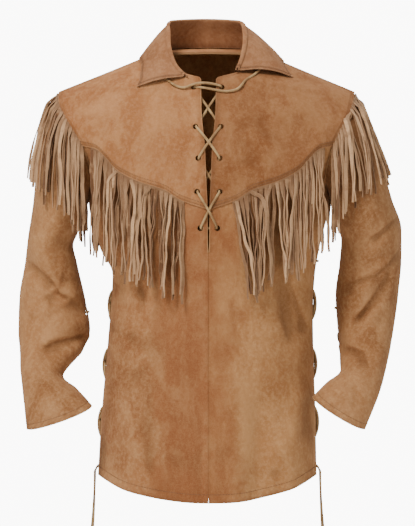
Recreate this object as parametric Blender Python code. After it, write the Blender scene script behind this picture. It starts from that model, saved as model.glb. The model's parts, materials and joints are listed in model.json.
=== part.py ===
# Fringe shirt: a pull-over western shirt of tan suede, as it is worn, hollow and with no wearer.
# The front is -Y, up is +Z and the wearer's left is +X. Sizes are in metres unless they say mm.
# The origin is at the base of the neck, midway between the shoulder tops that carry the shirt.

import math
import random

import bmesh
import bpy
from mathutils import Vector
from mathutils.bvhtree import BVHTree

MM = 0.001

# Driving sizes
wall = 1.6 * MM                 # thickness of the suede
seam_gap = 0.3 * MM             # between two pieces at a seam
layer_gap = 0.35 * MM           # between the yoke and the panel under it
strip_gap = 0.8 * MM            # between the yoke fringe's strip and the panel under it
armhole_strip_gap = 1.7 * MM    # between the armhole fringe's strip and the sleeve under it
edge_gap = 1.0 * MM             # between the yoke's edge and its fringe's strip
strip_height = 7.0 * MM         # the uncut strip that carries the strands
strand_width = 6.0 * MM
strand_thickness = 1.4 * MM
strand_pitch = 9.0 * MM         # from one strand to the next along the strip
strand_tip = 0.72               # a tip's width beside the strand's
strand_sway = 2.5 * MM          # most that a tip swings along the strip
strand_twist = 0.3              # most that a tip turns, in radians
strand_lift = (2.0, 6.0)        # least and most that a tip stands away from the cloth, in mm
thong = 3.6 * MM                # diameter of the laces
thong_gap = 0.5 * MM            # least gap between a lace and the suede it lies on
hole = 6.4 * MM                 # width of a punched hole
hole_inset = 9.0 * MM           # from a hole's centre to the edge of its panel
punch_depth = 14 * MM           # length of the post that cuts a hole
side_opening = 10.0 * MM        # laced opening of the side seams
neck_half_width = 85 * MM
neck_depth = 76 * MM
front_columns = 8               # cells across half of the body

sides = {"left": 1, "right": -1}

suede = {
    "panel_left": ((0.52, 0.30, 0.15, 1), 0.95),
    "panel_right": ((0.46, 0.23, 0.11, 1), 0.95),
    "yoke": ((0.50, 0.30, 0.16, 1), 0.95),
    "sleeve": ((0.48, 0.27, 0.13, 1), 0.95),
    "fringe": ((0.50, 0.33, 0.20, 1), 0.92),
    "thong": ((0.56, 0.40, 0.26, 1), 0.85),
}


def table(columns, rows):
    """Rows of a table with named columns."""
    return [dict(zip(columns, row)) for row in rows]


# The body from hem to shoulder, in mm. Each row is a level of the cloth: its middle in front and
# behind, and its edge at the side seam or, above the underarm, at the armhole.
# turn is how far the row has swung round the body when it reaches that edge, in degrees.
body_levels = table(
    ("name", "front_y", "front_z", "back_y", "back_z", "left_x", "right_x",
     "edge_z", "front_edge_y", "back_edge_y", "turn"),
    (
        ("hem", -130, -757, 130, -760, 186, 190, -712, 0, 0, 90),
        ("hip", -126, -640, 128, -640, 184, 184, -612, 0, 0, 90),
        ("low waist", -120, -525, 118, -525, 181, 175, -510, 0, 0, 90),
        ("waist", -117, -445, 108, -445, 180, 168, -430, 0, 0, 90),
        ("ribs", -119, -382, 110, -380, 183, 165, -370, 0, 0, 90),
        ("flare", -122, -345, 115, -340, 191, 187, -322, 0, 0, 90),
        ("underarm", -124, -312, 120, -300, 208, 206, -245, 0, 0, 88),
        ("low armhole", -125, -288, 123, -270, 200, 201, -203, -50, 50, 74),
        ("yoke edge", -125, -258, 125, -240, 212, 215, -149, -76, 74, 60),
        ("chest", -119, -190, 125, -180, 226, 233, -120, -66, 64, 50),
        ("upper chest", -104, -115, 118, -110, 242, 250, -93, -43, 42, 42),
        ("collarbone", -76, -36, 104, -50, 248, 257, -70, -21, 22, 34),
        ("shoulder", -76, -36, 76, 22, 251, 257, -56, 0, 0, 20),
    ),
)
underarm_level = 6
yoke_level = 8
neck_level = 11
back_neck_level = 11.34
shoulder_level = 12

# Height of the neck seam from the middle of the front, over the shoulder, to the middle of the back
neck_heights = table(
    ("quarter", "z"),
    ((0.0, -36), (0.5, -20), (1.0, 12), (1.5, 20), (2.0, 22)),
)

# Half the width of the front slit, which closes into the centre seam
slit_widths = table(
    ("z", "half_width"),
    ((-800, 0.15), (-335, 0.15), (-250, 1.2), (-206, 4.0), (-155, 6.0), (-86, 12.0), (0, 13.0)),
)

# The yoke's lower edge: how much of its rise is reached at each share of the way out
yoke_edge = table(
    ("out", "rise"),
    ((0.0, 0.0), (0.21, 0.14), (0.34, 0.30), (0.54, 0.43), (0.66, 0.54),
     (0.74, 0.65), (0.80, 0.79), (0.89, 0.95), (1.0, 1.0)),
)

# Large folds of the body in mm: a ridge has a depth above 0, a trough below 0
body_folds = table(
    ("face", "from_x", "from_z", "to_x", "to_z", "width", "depth"),
    (
        ("front", 128, -378, 152, -462, 22, -9),
        ("front", 148, -578, 137, -648, 20, 6),
        ("front", 165, -262, 132, -335, 20, -7),
        ("front", -168, -262, -130, -340, 20, -7),
        ("front", -128, -560, -134, -760, 27, 8),
        ("front", -66, -600, -62, -760, 26, -6),
        ("front", 36, -560, 42, -770, 27, 9),
        ("front", 88, -600, 90, -770, 22, -7),
        ("front", 132, -650, 140, -750, 22, 5),
        ("front", -100, -340, -128, -470, 30, 5),
        ("back", 0, -300, 0, -500, 34, -6),
        ("back", 96, -400, 104, -750, 30, 8),
        ("back", -90, -430, -100, -750, 30, 8),
        ("back", -145, -425, -50, -460, 18, -5),
        ("back", 140, -470, 60, -435, 18, -5),
        ("back", 50, -620, 46, -770, 26, -5),
        ("back", -40, -600, -46, -770, 26, -5),
    ),
)

# Each sleeve from the armhole to the cuff, in mm. A ring's outer and inner points are its
# silhouette from the front, x is counted outwards, and tilt lifts its front over its back.
sleeve_columns_named = ("name", "place", "outer_x", "outer_z", "inner_x", "inner_z",
                        "middle_y", "half_depth", "tilt")
sleeve_rings = {
    "left": table(sleeve_columns_named, (
        ("head", 0.00, 251, -56, 208, -245, 0, 78, 0),
        ("cap", 0.05, 266, -95, 212, -253, 0, 77, 0),
        ("upper arm", 0.15, 291, -165, 217, -272, 2, 74, 0),
        ("biceps", 0.28, 316, -240, 223, -292, 8, 70, 0),
        ("drape", 0.38, 333, -294, 228, -310, 16, 66, 0),
        ("above elbow", 0.47, 333, -345, 225, -352, 24, 62, 0),
        ("elbow", 0.56, 329, -396, 219, -402, 30, 60, 0),
        ("elbow fold", 0.65, 322, -447, 222, -456, 26, 57, 4),
        ("forearm", 0.73, 314, -490, 226, -497, 4, 52, 8),
        ("pinch", 0.81, 305, -528, 226, -531, -25, 46, 8),
        ("lower forearm", 0.89, 295, -564, 203, -552, -55, 42, 2),
        ("cuff", 1.00, 267, -631, 177, -577, -88, 39, -8),
    )),
    "right": table(sleeve_columns_named, (
        ("head", 0.00, 257, -56, 206, -245, 0, 78, 0),
        ("cap", 0.05, 279, -98, 210, -255, 0, 77, 0),
        ("upper arm", 0.15, 293, -165, 216, -278, 2, 74, 0),
        ("biceps", 0.28, 302, -241, 226, -300, 8, 70, 0),
        ("drape", 0.38, 312, -308, 233, -320, 16, 66, 0),
        ("above elbow", 0.47, 316, -346, 226, -352, 24, 62, 0),
        ("elbow", 0.56, 326, -405, 212, -412, 30, 60, 0),
        ("elbow fold", 0.66, 328, -464, 204, -464, 26, 57, 4),
        ("forearm", 0.74, 325, -497, 217, -500, 6, 52, 8),
        ("pinch", 0.82, 322, -537, 250, -542, -25, 46, 8),
        ("lower forearm", 0.89, 318, -569, 226, -562, -52, 42, 2),
        ("cuff", 1.00, 310, -631, 198, -592, -88, 39, -8),
    )),
}

# Where the sleeve seam runs: 180 is under the arm, 360 is the outer side again. It is sewn above
# the elbow, and below it the laced opening turns with the forearm.
sleeve_seam = table(
    ("place", "turn", "opening"),
    ((0.00, 180, 0.3), (0.50, 180, 0.3), (0.58, 184, 9.0), (0.66, 196, 9.0),
     (0.78, 240, 9.0), (0.90, 290, 9.0), (1.00, 318, 9.0)),
)

# Large folds of the sleeves in mm, with x counted outwards
sleeve_folds = {
    "left": table(("face", "from_x", "from_z", "to_x", "to_z", "width", "depth"), (
        ("front", 302, -378, 255, -444, 16, -11),
        ("front", 234, -494, 268, -505, 15, -11),
        ("front", 324, -273, 271, -313, 20, -8),
        ("front", 240, -382, 331, -322, 17, -8),
        ("back", 310, -300, 250, -350, 20, -6),
        ("back", 256, -430, 320, -400, 18, -8),
        ("back", 268, -498, 308, -478, 15, -8),
    )),
    "right": table(("face", "from_x", "from_z", "to_x", "to_z", "width", "depth"), (
        ("front", 312, -348, 250, -402, 16, -12),
        ("front", 250, -402, 216, -432, 16, -10),
        ("front", 216, -474, 286, -499, 15, -12),
        ("front", 300, -250, 250, -300, 22, -4),
        ("back", 300, -300, 245, -345, 20, -6),
        ("back", 252, -420, 318, -395, 18, -8),
        ("back", 268, -500, 320, -484, 15, -8),
    )),
}

# The collar from its front end to the middle of the back. The fold is its top edge, and the
# leaf's edge lies on the yoke at a level of the cloth and a share of the way out to the armhole.
collar_columns = ("station", "seam_quarter", "fold_x", "fold_y", "fold_z", "leaf_level", "leaf_out")
collar_stations = {
    "left": table(collar_columns, (
        (0.00, 0.42, 50, -70, -15, 11.56, 0.40),
        (0.25, 0.62, 60, -54, 12, 11.75, 0.31),
        (0.50, 0.92, 64, -26, 42, 11.92, 0.25),
        (0.75, 1.42, 56, 24, 69, 12.40, 0.24),
        (1.00, 2.00, -6, 60, 74, 12.74, 0.0),
    )),
    "right": table(collar_columns, (
        (0.00, 0.32, 40, -79, -26, 11.02, 0.42),
        (0.25, 0.52, 59, -65, -5, 11.46, 0.27),
        (0.50, 0.85, 70, -34, 38, 11.85, 0.18),
        (0.75, 1.40, 68, 22, 69, 12.40, 0.20),
        (1.00, 2.00, 6, 60, 74, 12.74, 0.0),
    )),
}
collar_roll = 4.6 * MM          # radius of the fold
collar_off_yoke = 1.6 * MM      # between the leaf's edge and the yoke
collar_seam_in = 3.1 * MM       # the stand is sewn this far inside the neck seam
collar_seam_up = 2.0 * MM
collar_half_stations = 7

# Punched holes beside the front slit, in mm from the centre and the origin
front_holes = table(
    ("left_x", "right_x", "z"),
    ((22.5, 25.5, -49), (21.0, 22.0, -117), (19.0, 17.5, -171), (19.0, 19.5, -228), (15.0, 14.0, -290)),
)
yoke_hole_pairs = 4             # these pairs go through the yoke as well

# The front lace above its first holes, in mm: each run crosses the slit, lies on the yoke and
# goes under the collar. Lift is how far it rises clear of the other run.
front_lace_runs = {
    "left": table(("x", "z", "lift"), (
        (3, -52, 0), (15, -55, 0), (28, -57, 0.5), (40, -56, 0), (50, -53, 0), (57, -46, 0), (62, -37, 0))),
    "right": table(("x", "z", "lift"), (
        (9, -44, 2.0), (-3, -42, 4.4), (-14, -42, 5.0), (-25, -44, 5.0), (-34, -48, 4.0), (-43, -51, 0.5),
        (-52, -49, 0), (-62, -44, 0), (-73, -35, 0))),
}
# Under the collar the lace runs round the neck, at a level of the cloth and a share of the way out
under_collar = table(
    ("face", "level", "out"),
    (("front", 11.30, 0.15), ("front", 11.50, 0.12), ("front", 11.70, 0.09), ("front", 11.85, 0.07),
     ("back", 11.97, 0.06), ("back", 11.80, 0.06), ("back", 11.67, 0.06), ("back", 11.50, 0.06),
     ("back", 11.40, 0.05)),
)

lift_rounds = 12                # times a lace is lifted off the cloth until it is clear of it

side_lace = {"pairs": 8, "top_z": -345 * MM, "bottom_z": -696 * MM}
sleeve_lace = {"pairs": 6, "top": 0.60, "bottom": 0.975}

# The two free ends of each side lace, in mm: how far they hang and where their tips swing to
lace_tail = 7 * MM              # from the last hole to where the end hangs free
end_steps = 3                   # straight pieces between two of a free end's knots
free_ends = table(
    ("name", "length", "swing_out", "swing_y"),
    (("long", 128, 9, -9), ("short", 98, 3, 10)),
)

# The fringes. Neighbouring strands hang in two layers, at these heights off the cloth, and each
# has a cross-section at these shares of its length.
yoke_fringe = {
    "length": 168 * MM, "spread": 9 * MM, "layers": (8.6 * MM, 4.6 * MM), "sections": (0.42, 1.0),
    "front_columns": (1.3, front_columns - 0.75), "back_columns": (0.05, front_columns - 1.0),
}
armhole_fringe = {
    "length": 162 * MM, "spread": 8 * MM, "layers": (8.0 * MM, 4.0 * MM), "sections": (0.12, 0.45, 1.0),
    "front_level": 7.9, "back_level": 7.8,
}


class Track:
    """A smooth curve through one column of a table, which never overshoots its values."""

    def __init__(self, rows, along, column):
        self.places = [row[along] for row in rows]
        self.values = [row[column] for row in rows]
        steps = [b - a for a, b in zip(self.places, self.places[1:])]
        rises = [(b - a) / step for a, b, step in zip(self.values, self.values[1:], steps)]
        self.slopes = [rises[0]]
        for before, after in zip(rises, rises[1:]):
            self.slopes.append(0.0 if before * after <= 0 else 2 * before * after / (before + after))
        self.slopes.append(rises[-1])

    def __call__(self, place):
        place = min(max(place, self.places[0]), self.places[-1])
        index = 0
        while index < len(self.places) - 2 and place > self.places[index + 1]:
            index += 1
        step = self.places[index + 1] - self.places[index]
        t = (place - self.places[index]) / step
        start, end = self.values[index], self.values[index + 1]
        leave, arrive = self.slopes[index] * step, self.slopes[index + 1] * step
        return ((2 * t**3 - 3 * t**2 + 1) * start + (t**3 - 2 * t**2 + t) * leave
                + (3 * t**2 - 2 * t**3) * end + (t**3 - t**2) * arrive)


def smooth_step(value, low, high):
    t = min(max((value - low) / (high - low), 0.0), 1.0)
    return t * t * (3 - 2 * t)


for number, row in enumerate(body_levels):
    row["level"] = number
back_middle = [dict(row) for row in body_levels]
back_middle[-1]["level"] = back_neck_level

body_track = {name: Track(body_levels, "level", name) for name in body_levels[0]
              if name not in ("name", "level")}
back_y_track = Track(back_middle, "level", "back_y")
back_z_track = Track(back_middle, "level", "back_z")
neck_track = Track(neck_heights, "quarter", "z")
slit_track = Track(slit_widths, "z", "half_width")
yoke_track = Track(yoke_edge, "out", "rise")
seam_turn = Track(sleeve_seam, "place", "turn")
seam_opening = Track(sleeve_seam, "place", "opening")
sleeve_track = {
    side: {name: Track(rings, "place", name) for name in sleeve_columns_named[2:]}
    for side, rings in sleeve_rings.items()
}


def fold_depth(folds, face, x, z):
    """How far the folds push the cloth out at a place seen from the front, in mm."""
    total = 0.0
    for fold in folds:
        if fold["face"] != face:
            continue
        run_x, run_z = fold["to_x"] - fold["from_x"], fold["to_z"] - fold["from_z"]
        along = ((x - fold["from_x"]) * run_x + (z - fold["from_z"]) * run_z) / (run_x**2 + run_z**2)
        along = min(max(along, 0.0), 1.0)
        off_x = x - fold["from_x"] - along * run_x
        off_z = z - fold["from_z"] - along * run_z
        total += fold["depth"] * math.exp(-(off_x**2 + off_z**2) / fold["width"] ** 2)
    return total


def neck_point(side, quarter):
    """A point on the neck seam: quarter 0 is the front, 1 the shoulder and 2 the back."""
    angle = quarter * math.pi / 2
    return Vector((
        sides[side] * neck_half_width * math.sin(angle),
        -neck_depth * math.cos(angle),
        neck_track(quarter) * MM,
    ))


def middle_point(side, face, level):
    """Where a level of the cloth begins: the centre line, then the neck seam."""
    if face == "front":
        slit = slit_track(body_track["front_z"](level)) * MM
        if level > neck_level:
            start = math.asin(slit / neck_half_width) / (math.pi / 2)
            return neck_point(side, start + (1 - start) * (level - neck_level))
        return Vector((sides[side] * slit, body_track["front_y"](level) * MM,
                       body_track["front_z"](level) * MM))
    if level > back_neck_level:
        rest = (level - back_neck_level) / (shoulder_level - back_neck_level)
        return neck_point(side, 2 - rest)
    return Vector((0, back_y_track(level) * MM, back_z_track(level) * MM))


def edge_point(side, face, level):
    """Where a level of the cloth ends: the side seam, then the armhole."""
    return Vector((
        sides[side] * body_track[side + "_x"](level) * MM,
        body_track[face + "_edge_y"](level) * MM,
        body_track["edge_z"](level) * MM,
    ))


def body_point(side, face, out, level):
    """A point of the body's cloth: out is 0 at the centre and 1 at the side seam or armhole."""
    if level > shoulder_level:
        face = "back" if face == "front" else "front"
        level = 2 * shoulder_level - level
    middle, edge = middle_point(side, face, level), edge_point(side, face, level)
    turn = math.radians(body_track["turn"](level))
    angle = out * turn
    square = 0.86 + 0.14 * smooth_step(level, underarm_level - 0.5, underarm_level + 1)
    across = (math.sin(angle) / math.sin(turn)) ** square
    forward = max(0.0, (math.cos(angle) - math.cos(turn)) / (1 - math.cos(turn))) ** square
    to_yoke = smooth_step(level, underarm_level, yoke_level)
    off_yoke = smooth_step(level, yoke_level, shoulder_level - 1)
    low_rise = across ** (2.3 - 0.8 * to_yoke)
    rise = low_rise + (yoke_track(across) - low_rise) * to_yoke
    rise += (across - rise) * off_yoke
    point = Vector((
        middle.x + (edge.x - middle.x) * across,
        edge.y + (middle.y - edge.y) * forward,
        middle.z + (edge.z - middle.z) * rise,
    ))
    push = fold_depth(body_folds, face, point.x / MM, point.z / MM) * MM
    outward = Vector((sides[side] * math.sin(angle), -math.cos(angle), 0))
    if face == "back":
        outward.y = -outward.y
    return point + outward * push


def armhole_levels(side, face):
    """Levels at even steps along the armhole, from the shoulder to the underarm."""
    count = 60
    levels = [shoulder_level - (shoulder_level - underarm_level) * i / count for i in range(count + 1)]
    length = 0.0
    rows = [{"share": 0.0, "level": levels[0]}]
    for before, after in zip(levels, levels[1:]):
        length += (edge_point(side, face, after) - edge_point(side, face, before)).length
        rows.append({"share": length, "level": after})
    for row in rows:
        row["share"] /= length
    return Track(rows, "share", "level")


armhole_track = {
    (side, face): armhole_levels(side, face) for side in sides for face in ("front", "back")
}


def sleeve_point(side, turn, place):
    """A point of a sleeve: turn 0 is the outer side, 90 the front, 180 under the arm, 270 the back."""
    turn = turn % 360
    track = sleeve_track[side]
    angle = math.radians(turn)
    outer = Vector((track["outer_x"](place), 0, track["outer_z"](place)))
    inner = Vector((track["inner_x"](place), 0, track["inner_z"](place)))
    centre, half = (outer + inner) / 2, (outer - inner) / 2
    depth = track["half_depth"](place)
    ring = centre + half * math.cos(angle)
    ring.y = track["middle_y"](place) - depth * math.sin(angle)
    ring.z += track["tilt"](place) * math.sin(angle)
    face = "front" if turn <= 180 else "back"
    facing = math.sin(angle) if face == "front" else -math.sin(angle)
    push = fold_depth(sleeve_folds[side], face, ring.x, ring.z) * math.sqrt(max(facing, 0.0))
    outward = Vector((math.cos(angle), -math.sin(angle), 0))
    ring += outward * push * smooth_step(place, 0.1, 0.25)
    ring = Vector((sides[side] * ring.x, ring.y, ring.z)) * MM
    share = turn / 180 if face == "front" else (360 - turn) / 180
    armhole = edge_point(side, face, armhole_track[side, face](share))
    return armhole.lerp(ring, smooth_step(place, -0.02, 0.16) if place > 0 else 0.0)


def surface_normal(across, along, outward):
    """The cloth's normal, from two short steps on its surface, on the side of outward."""
    normal = across.cross(along).normalized()
    return normal if normal.dot(outward) > 0 else -normal


class Sheet:
    """A grid of cloth points with normals. What lies on the cloth is made from these points."""

    def __init__(self, points, normals):
        self.points = points
        self.normals = normals
        self.rows = len(points)
        self.columns = len(points[0])

    def at(self, row, column, out=0.0):
        """The point on the faceted cloth at a place of the grid, moved out along the normal."""
        i = min(max(int(math.floor(row)), 0), self.rows - 2)
        j = min(max(int(math.floor(column)), 0), self.columns - 2)
        f, g = row - i, column - j
        corner = (i, j), (i + 1, j) if f >= g else (i, j + 1), (i + 1, j + 1)
        near, far = (f, g) if f >= g else (g, f)
        shares = 1 - near, near - far, far
        point = sum((self.points[a][b] * s for (a, b), s in zip(corner, shares)), Vector())
        normal = sum((self.normals[a][b] * s for (a, b), s in zip(corner, shares)), Vector())
        return point + normal * out

    def normal(self, row, column):
        return (self.at(row, column, 1.0) - self.at(row, column)).normalized()

    def facets(self, first_row, last_row, out):
        """The corners of the cloth's triangles between two rows, moved out along the normals."""
        corners = []
        for i in range(first_row, last_row):
            for j in range(self.columns - 1):
                a, b = self.at(i, j, out), self.at(i + 1, j, out)
                c, d = self.at(i + 1, j + 1, out), self.at(i, j + 1, out)
                corners += [a, b, c, a, c, d]
        return corners

    def step(self, row, column, to_row, to_column, distance):
        """The place in the grid that is a distance away, towards another place."""
        start = self.at(row, column)
        near, far = 0.0, 1.0
        for _ in range(24):
            middle = (near + far) / 2
            reached = self.at(row + (to_row - row) * middle, column + (to_column - column) * middle)
            near, far = (middle, far) if (reached - start).length < distance else (near, middle)
        return row + (to_row - row) * near, column + (to_column - column) * near

    def find(self, row, column, x, z):
        """The place in the grid that is seen at x and z from the front, searched from a near one."""
        for _ in range(12):
            here = self.at(row, column)
            down = self.at(row + 0.05, column) - here
            over = self.at(row, column + 0.05) - here
            det = down.x * over.z - down.z * over.x
            if abs(det) < 1e-12:
                break
            miss_x, miss_z = x - here.x, z - here.z
            row += max(-1.5, min(1.5, 0.05 * (miss_x * over.z - miss_z * over.x) / det))
            column += max(-1.5, min(1.5, 0.05 * (down.x * miss_z - down.z * miss_x) / det))
            row = min(max(row, 0.0), self.rows - 1.0)
            column = min(max(column, 0.0), self.columns - 1.0)
        return row, column


def pull_in(points, row, column, to_row, to_column, distance):
    """Move an edge point of a grid towards its neighbour, to leave half of a seam's gap."""
    direction = points[to_row][to_column] - points[row][column]
    points[row][column] += direction.normalized() * distance


def mitred(own, other):
    """The direction of a wall's edge where two cloths meet at less than a right angle."""
    weight = smooth_step(own.dot(other), 0.05, 0.5)
    joint = (own + other * weight).normalized()
    return joint * min(1.3, 1 / max(joint.dot(own), 0.5))


def body_normal(side, face, out, level):
    short = 0.004
    inner = body_point(side, face, max(out - short, 0.0), level)
    outer = body_point(side, face, min(out + short, 1.0), level)
    below = body_point(side, face, out, max(level - short, 0.0))
    above = body_point(side, face, out, level + short)
    turn = math.radians(body_track["turn"](min(level, shoulder_level))) * out
    outward = Vector((sides[side] * math.sin(turn), -math.cos(turn), 0.6))
    if face == "back":
        outward.y = -outward.y
    return surface_normal(outer - inner, above - below, outward)


def sleeve_normal(side, turn, place):
    short_turn, short = 1.0, 0.004
    before = sleeve_point(side, turn - short_turn, place)
    after = sleeve_point(side, turn + short_turn, place)
    up = sleeve_point(side, turn, max(place - short, 0.0))
    down = sleeve_point(side, turn, min(place + short, 1.0))
    angle = math.radians(turn)
    outward = Vector((sides[side] * math.cos(angle), -math.sin(angle), 0.3 * math.cos(angle)))
    return surface_normal(after - before, down - up, outward)


body_rows = (
    [0.5 * i for i in range(16)] + [yoke_level, 8.67, 9.33, 10, 10.5, 11, back_neck_level, 11.67, 12]
)
yoke_row = body_rows.index(yoke_level)
side_gap = Track(
    table(("level", "gap"), ((0, side_opening), (5.0, side_opening), (5.8, seam_gap), (12, seam_gap))),
    "level", "gap")


def armhole_turn(side, face, level):
    """The sleeve's turn that meets the body's armhole at a level."""
    low, high = 0.0, 1.0
    for _ in range(30):
        middle = (low + high) / 2
        low, high = (middle, high) if armhole_track[side, face](middle) > level else (low, middle)
    return low * 180 if face == "front" else 360 - low * 180


def body_grid(side, face):
    """Points and normals of half the body's front or back, from the centre out."""
    points, normals = [], []
    for level in body_rows:
        outs = [j / front_columns for j in range(front_columns + 1)]
        points.append([body_point(side, face, out, level) for out in outs])
        line = [body_normal(side, face, out, level) for out in outs]
        if level > underarm_level:
            arm = sleeve_normal(side, armhole_turn(side, face, level), 0.01)
            line[-1] = mitred(line[-1], arm)
        normals.append(line)
    last_row, last = len(body_rows) - 1, front_columns
    for i, level in enumerate(body_rows):
        pull_in(points, i, last, i, last - 1, side_gap(level) / 2)
    for j in range(front_columns + 1):
        pull_in(points, last_row, j, last_row - 1, j, seam_gap / 2)
    return points, normals


def body_sheet(side, face):
    return Sheet(*body_grid(side, face))


sleeve_rows = [0, 0.015, 0.05, 0.10, 0.17, 0.25, 0.33, 0.41, 0.48, 0.55, 0.61,
               0.67, 0.73, 0.79, 0.85, 0.925, 1.0]
armhole_rows = [level for level in body_rows if level >= underarm_level]


def sleeve_turns(side):
    """How far round from the seam each column of a sleeve is, so that the sleeve's edge has the
    same points as the body's armhole: up the back from the underarm, and down the front."""
    up = [armhole_turn(side, "back", level) - 180 for level in armhole_rows]
    down = [armhole_turn(side, "front", level) + 180 for level in armhole_rows[-2::-1]]
    return up + down


def sleeve_sheet(side):
    """A sleeve is one sheet that is rolled round to its own seam."""
    steps = sleeve_turns(side)
    points = [[sleeve_point(side, seam_turn(place) + step, place) for step in steps]
              for place in sleeve_rows]
    normals = [[sleeve_normal(side, seam_turn(place) + step, place) for step in steps]
               for place in sleeve_rows]
    edge = [("back", level) for level in armhole_rows]
    edge += [("front", level) for level in armhole_rows[-2::-1]]
    for j, (face, level) in enumerate(edge):
        points[0][j] = edge_point(side, face, level)
        own = sleeve_normal(side, seam_turn(0) + steps[j], 0.01)
        normals[0][j] = mitred(own, body_normal(side, face, 1.0, level))
        pull_in(points, 0, j, 1, j, seam_gap / 2)
    for i, place in enumerate(sleeve_rows):
        pull_in(points, i, 0, i, 1, seam_opening(place) * MM / 2)
        pull_in(points, i, -1, i, -2, seam_opening(place) * MM / 2)
    return Sheet(points, normals)


def collar_sheet():
    """The collar's visible side: up the stand from the neck seam, over the fold and down the leaf."""
    lines = []
    for side in ("right", "left"):
        track = {name: Track(collar_stations[side], "station", name) for name in collar_columns[1:]}
        half = []
        for i in range(collar_half_stations + 1):
            half.append(collar_line(side, i / collar_half_stations, track))
        lines += half[:-1] if side == "right" else half[::-1]
    normals = []
    for i, line in enumerate(lines):
        before, after = lines[max(i - 1, 0)], lines[min(i + 1, len(lines) - 1)]
        row = []
        for j in range(len(line)):
            low, high = line[max(j - 1, 0)], line[min(j + 1, len(line) - 1)]
            row.append((high - low).cross(after[j] - before[j]).normalized())
        normals.append(row)
    return Sheet(lines, normals)


def collar_line(side, station, track):
    """One cross-section of the collar, from the neck seam over the fold to the leaf's edge."""
    lift = layer_gap + wall + collar_off_yoke + wall
    seam = neck_point(side, track["seam_quarter"](station))
    towards_neck = Vector((-seam.x, -seam.y, 0)).normalized()
    seam += towards_neck * collar_seam_in + Vector((0, 0, collar_seam_up))
    fold = Vector((sides[side] * track["fold_x"](station), track["fold_y"](station),
                   track["fold_z"](station))) * MM
    level, out = track["leaf_level"](station), track["leaf_out"](station)
    face = "front"
    if level > shoulder_level:
        face, level = "back", 2 * shoulder_level - level
    edge = body_point(side, face, out, level) + body_normal(side, face, out, level) * lift
    away = (edge - fold)
    away.z = 0
    away.normalize()
    up = Vector((0, 0, 1))
    height = (fold - seam).length
    roll = min(collar_roll, 0.3 * height + 1.5 * MM)
    top = fold - away * roll
    line = [seam, seam.lerp(top, 0.5) + away * 0.04 * height]
    for k in range(5):
        angle = math.pi * k / 4
        line.append(fold + away * roll * -math.cos(angle) + up * roll * (math.sin(angle) - 1))
    start = line[-1]
    bulge = 0.16 * (edge - start).length
    stand_off = (body_normal(side, face, out, level) + up * 0.4).normalized()
    for k in range(1, 4):
        t = k / 3
        line.append(start.lerp(edge, t) + stand_off * bulge * 2 * t * (1 - t))
    return line


def make_material(name):
    colour, roughness = suede[name]
    material = bpy.data.materials.get(name) or bpy.data.materials.new(name)
    material.use_nodes = True
    shader = material.node_tree.nodes["Principled BSDF"]
    shader.inputs["Base Color"].default_value = colour
    shader.inputs["Roughness"].default_value = roughness
    shader.inputs["Metallic"].default_value = 0.0
    return material


def new_collection(name):
    collection = bpy.data.collections.new(name)
    bpy.context.scene.collection.children.link(collection)
    return collection


def add_mesh(name, vertices, faces, material, collection):
    """A named object from points and faces, with its faces turned outwards."""
    mesh = bpy.data.meshes.new(name)
    mesh.from_pydata([tuple(v) for v in vertices], [], faces)
    body = bmesh.new()
    body.from_mesh(mesh)
    bmesh.ops.recalc_face_normals(body, faces=body.faces)
    body.to_mesh(mesh)
    body.free()
    mesh.shade_smooth()
    mesh.set_sharp_from_angle(angle=math.radians(40))
    thing = bpy.data.objects.new(name, mesh)
    collection.objects.link(thing)
    if material:
        mesh.materials.append(make_material(material))
    return thing


def add_cloth(name, sheets, low, high, first_row, material, collection):
    """A closed wall of cloth between two distances out from one sheet, or from two that join
    where their points meet. It starts at a row of the grid."""
    places, outer, inner, triangles = {}, [], [], []
    for sheet in sheets:
        index = {}
        for i in range(first_row, sheet.rows):
            for j in range(sheet.columns):
                key = tuple(round(value, 6) for value in sheet.points[i][j])
                if key not in places:
                    places[key] = len(outer)
                    outer.append(sheet.at(i, j, high))
                    inner.append(sheet.at(i, j, low))
                index[i, j] = places[key]
        for i in range(first_row, sheet.rows - 1):
            for j in range(sheet.columns - 1):
                a, b = index[i, j], index[i + 1, j]
                c, d = index[i + 1, j + 1], index[i, j + 1]
                triangles += [(a, b, c), (a, c, d)]
    uses = {}
    for a, b, c in triangles:
        for edge in ((a, b), (b, c), (c, a)):
            uses.setdefault(tuple(sorted(edge)), []).append(edge)
    under = len(outer)
    faces = triangles + [(a + under, c + under, b + under) for a, b, c in triangles]
    for edges in uses.values():
        if len(edges) == 1:
            a, b = edges[0]
            faces.append((b, a, a + under, b + under))
    return add_mesh(name, outer + inner, faces, material, collection)


def add_fringe(name, roots, paths, material, collection):
    """A comb of strands. roots are the strip's stations, each with its top and bottom as an inner
    and an outer point, and each path is a strand's later cross-sections of four points."""
    vertices, faces = [], []
    for top_in, top_out, bottom_in, bottom_out in roots:
        vertices += [top_in, top_out, bottom_in, bottom_out]
    for k in range(len(roots) - 1):
        a, b = 4 * k, 4 * (k + 1)
        faces += [(a, b, b + 1, a + 1), (a + 1, b + 1, b + 3, a + 3), (a, a + 2, b + 2, b)]
    last = 4 * (len(roots) - 1)
    faces += [(0, 1, 3, 2), (last, last + 1, last + 3, last + 2)]
    for k, sections in enumerate(paths):
        ring = [4 * k + 2, 4 * k + 3, 4 * (k + 1) + 3, 4 * (k + 1) + 2]
        for section in sections:
            start = len(vertices)
            vertices += section
            new_ring = [start, start + 1, start + 2, start + 3]
            for c in range(4):
                d = (c + 1) % 4
                faces.append((ring[c], ring[d], new_ring[d], new_ring[c]))
            ring = new_ring
        faces.append(tuple(ring))
    return add_mesh(name, vertices, faces, material, collection)


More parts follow.
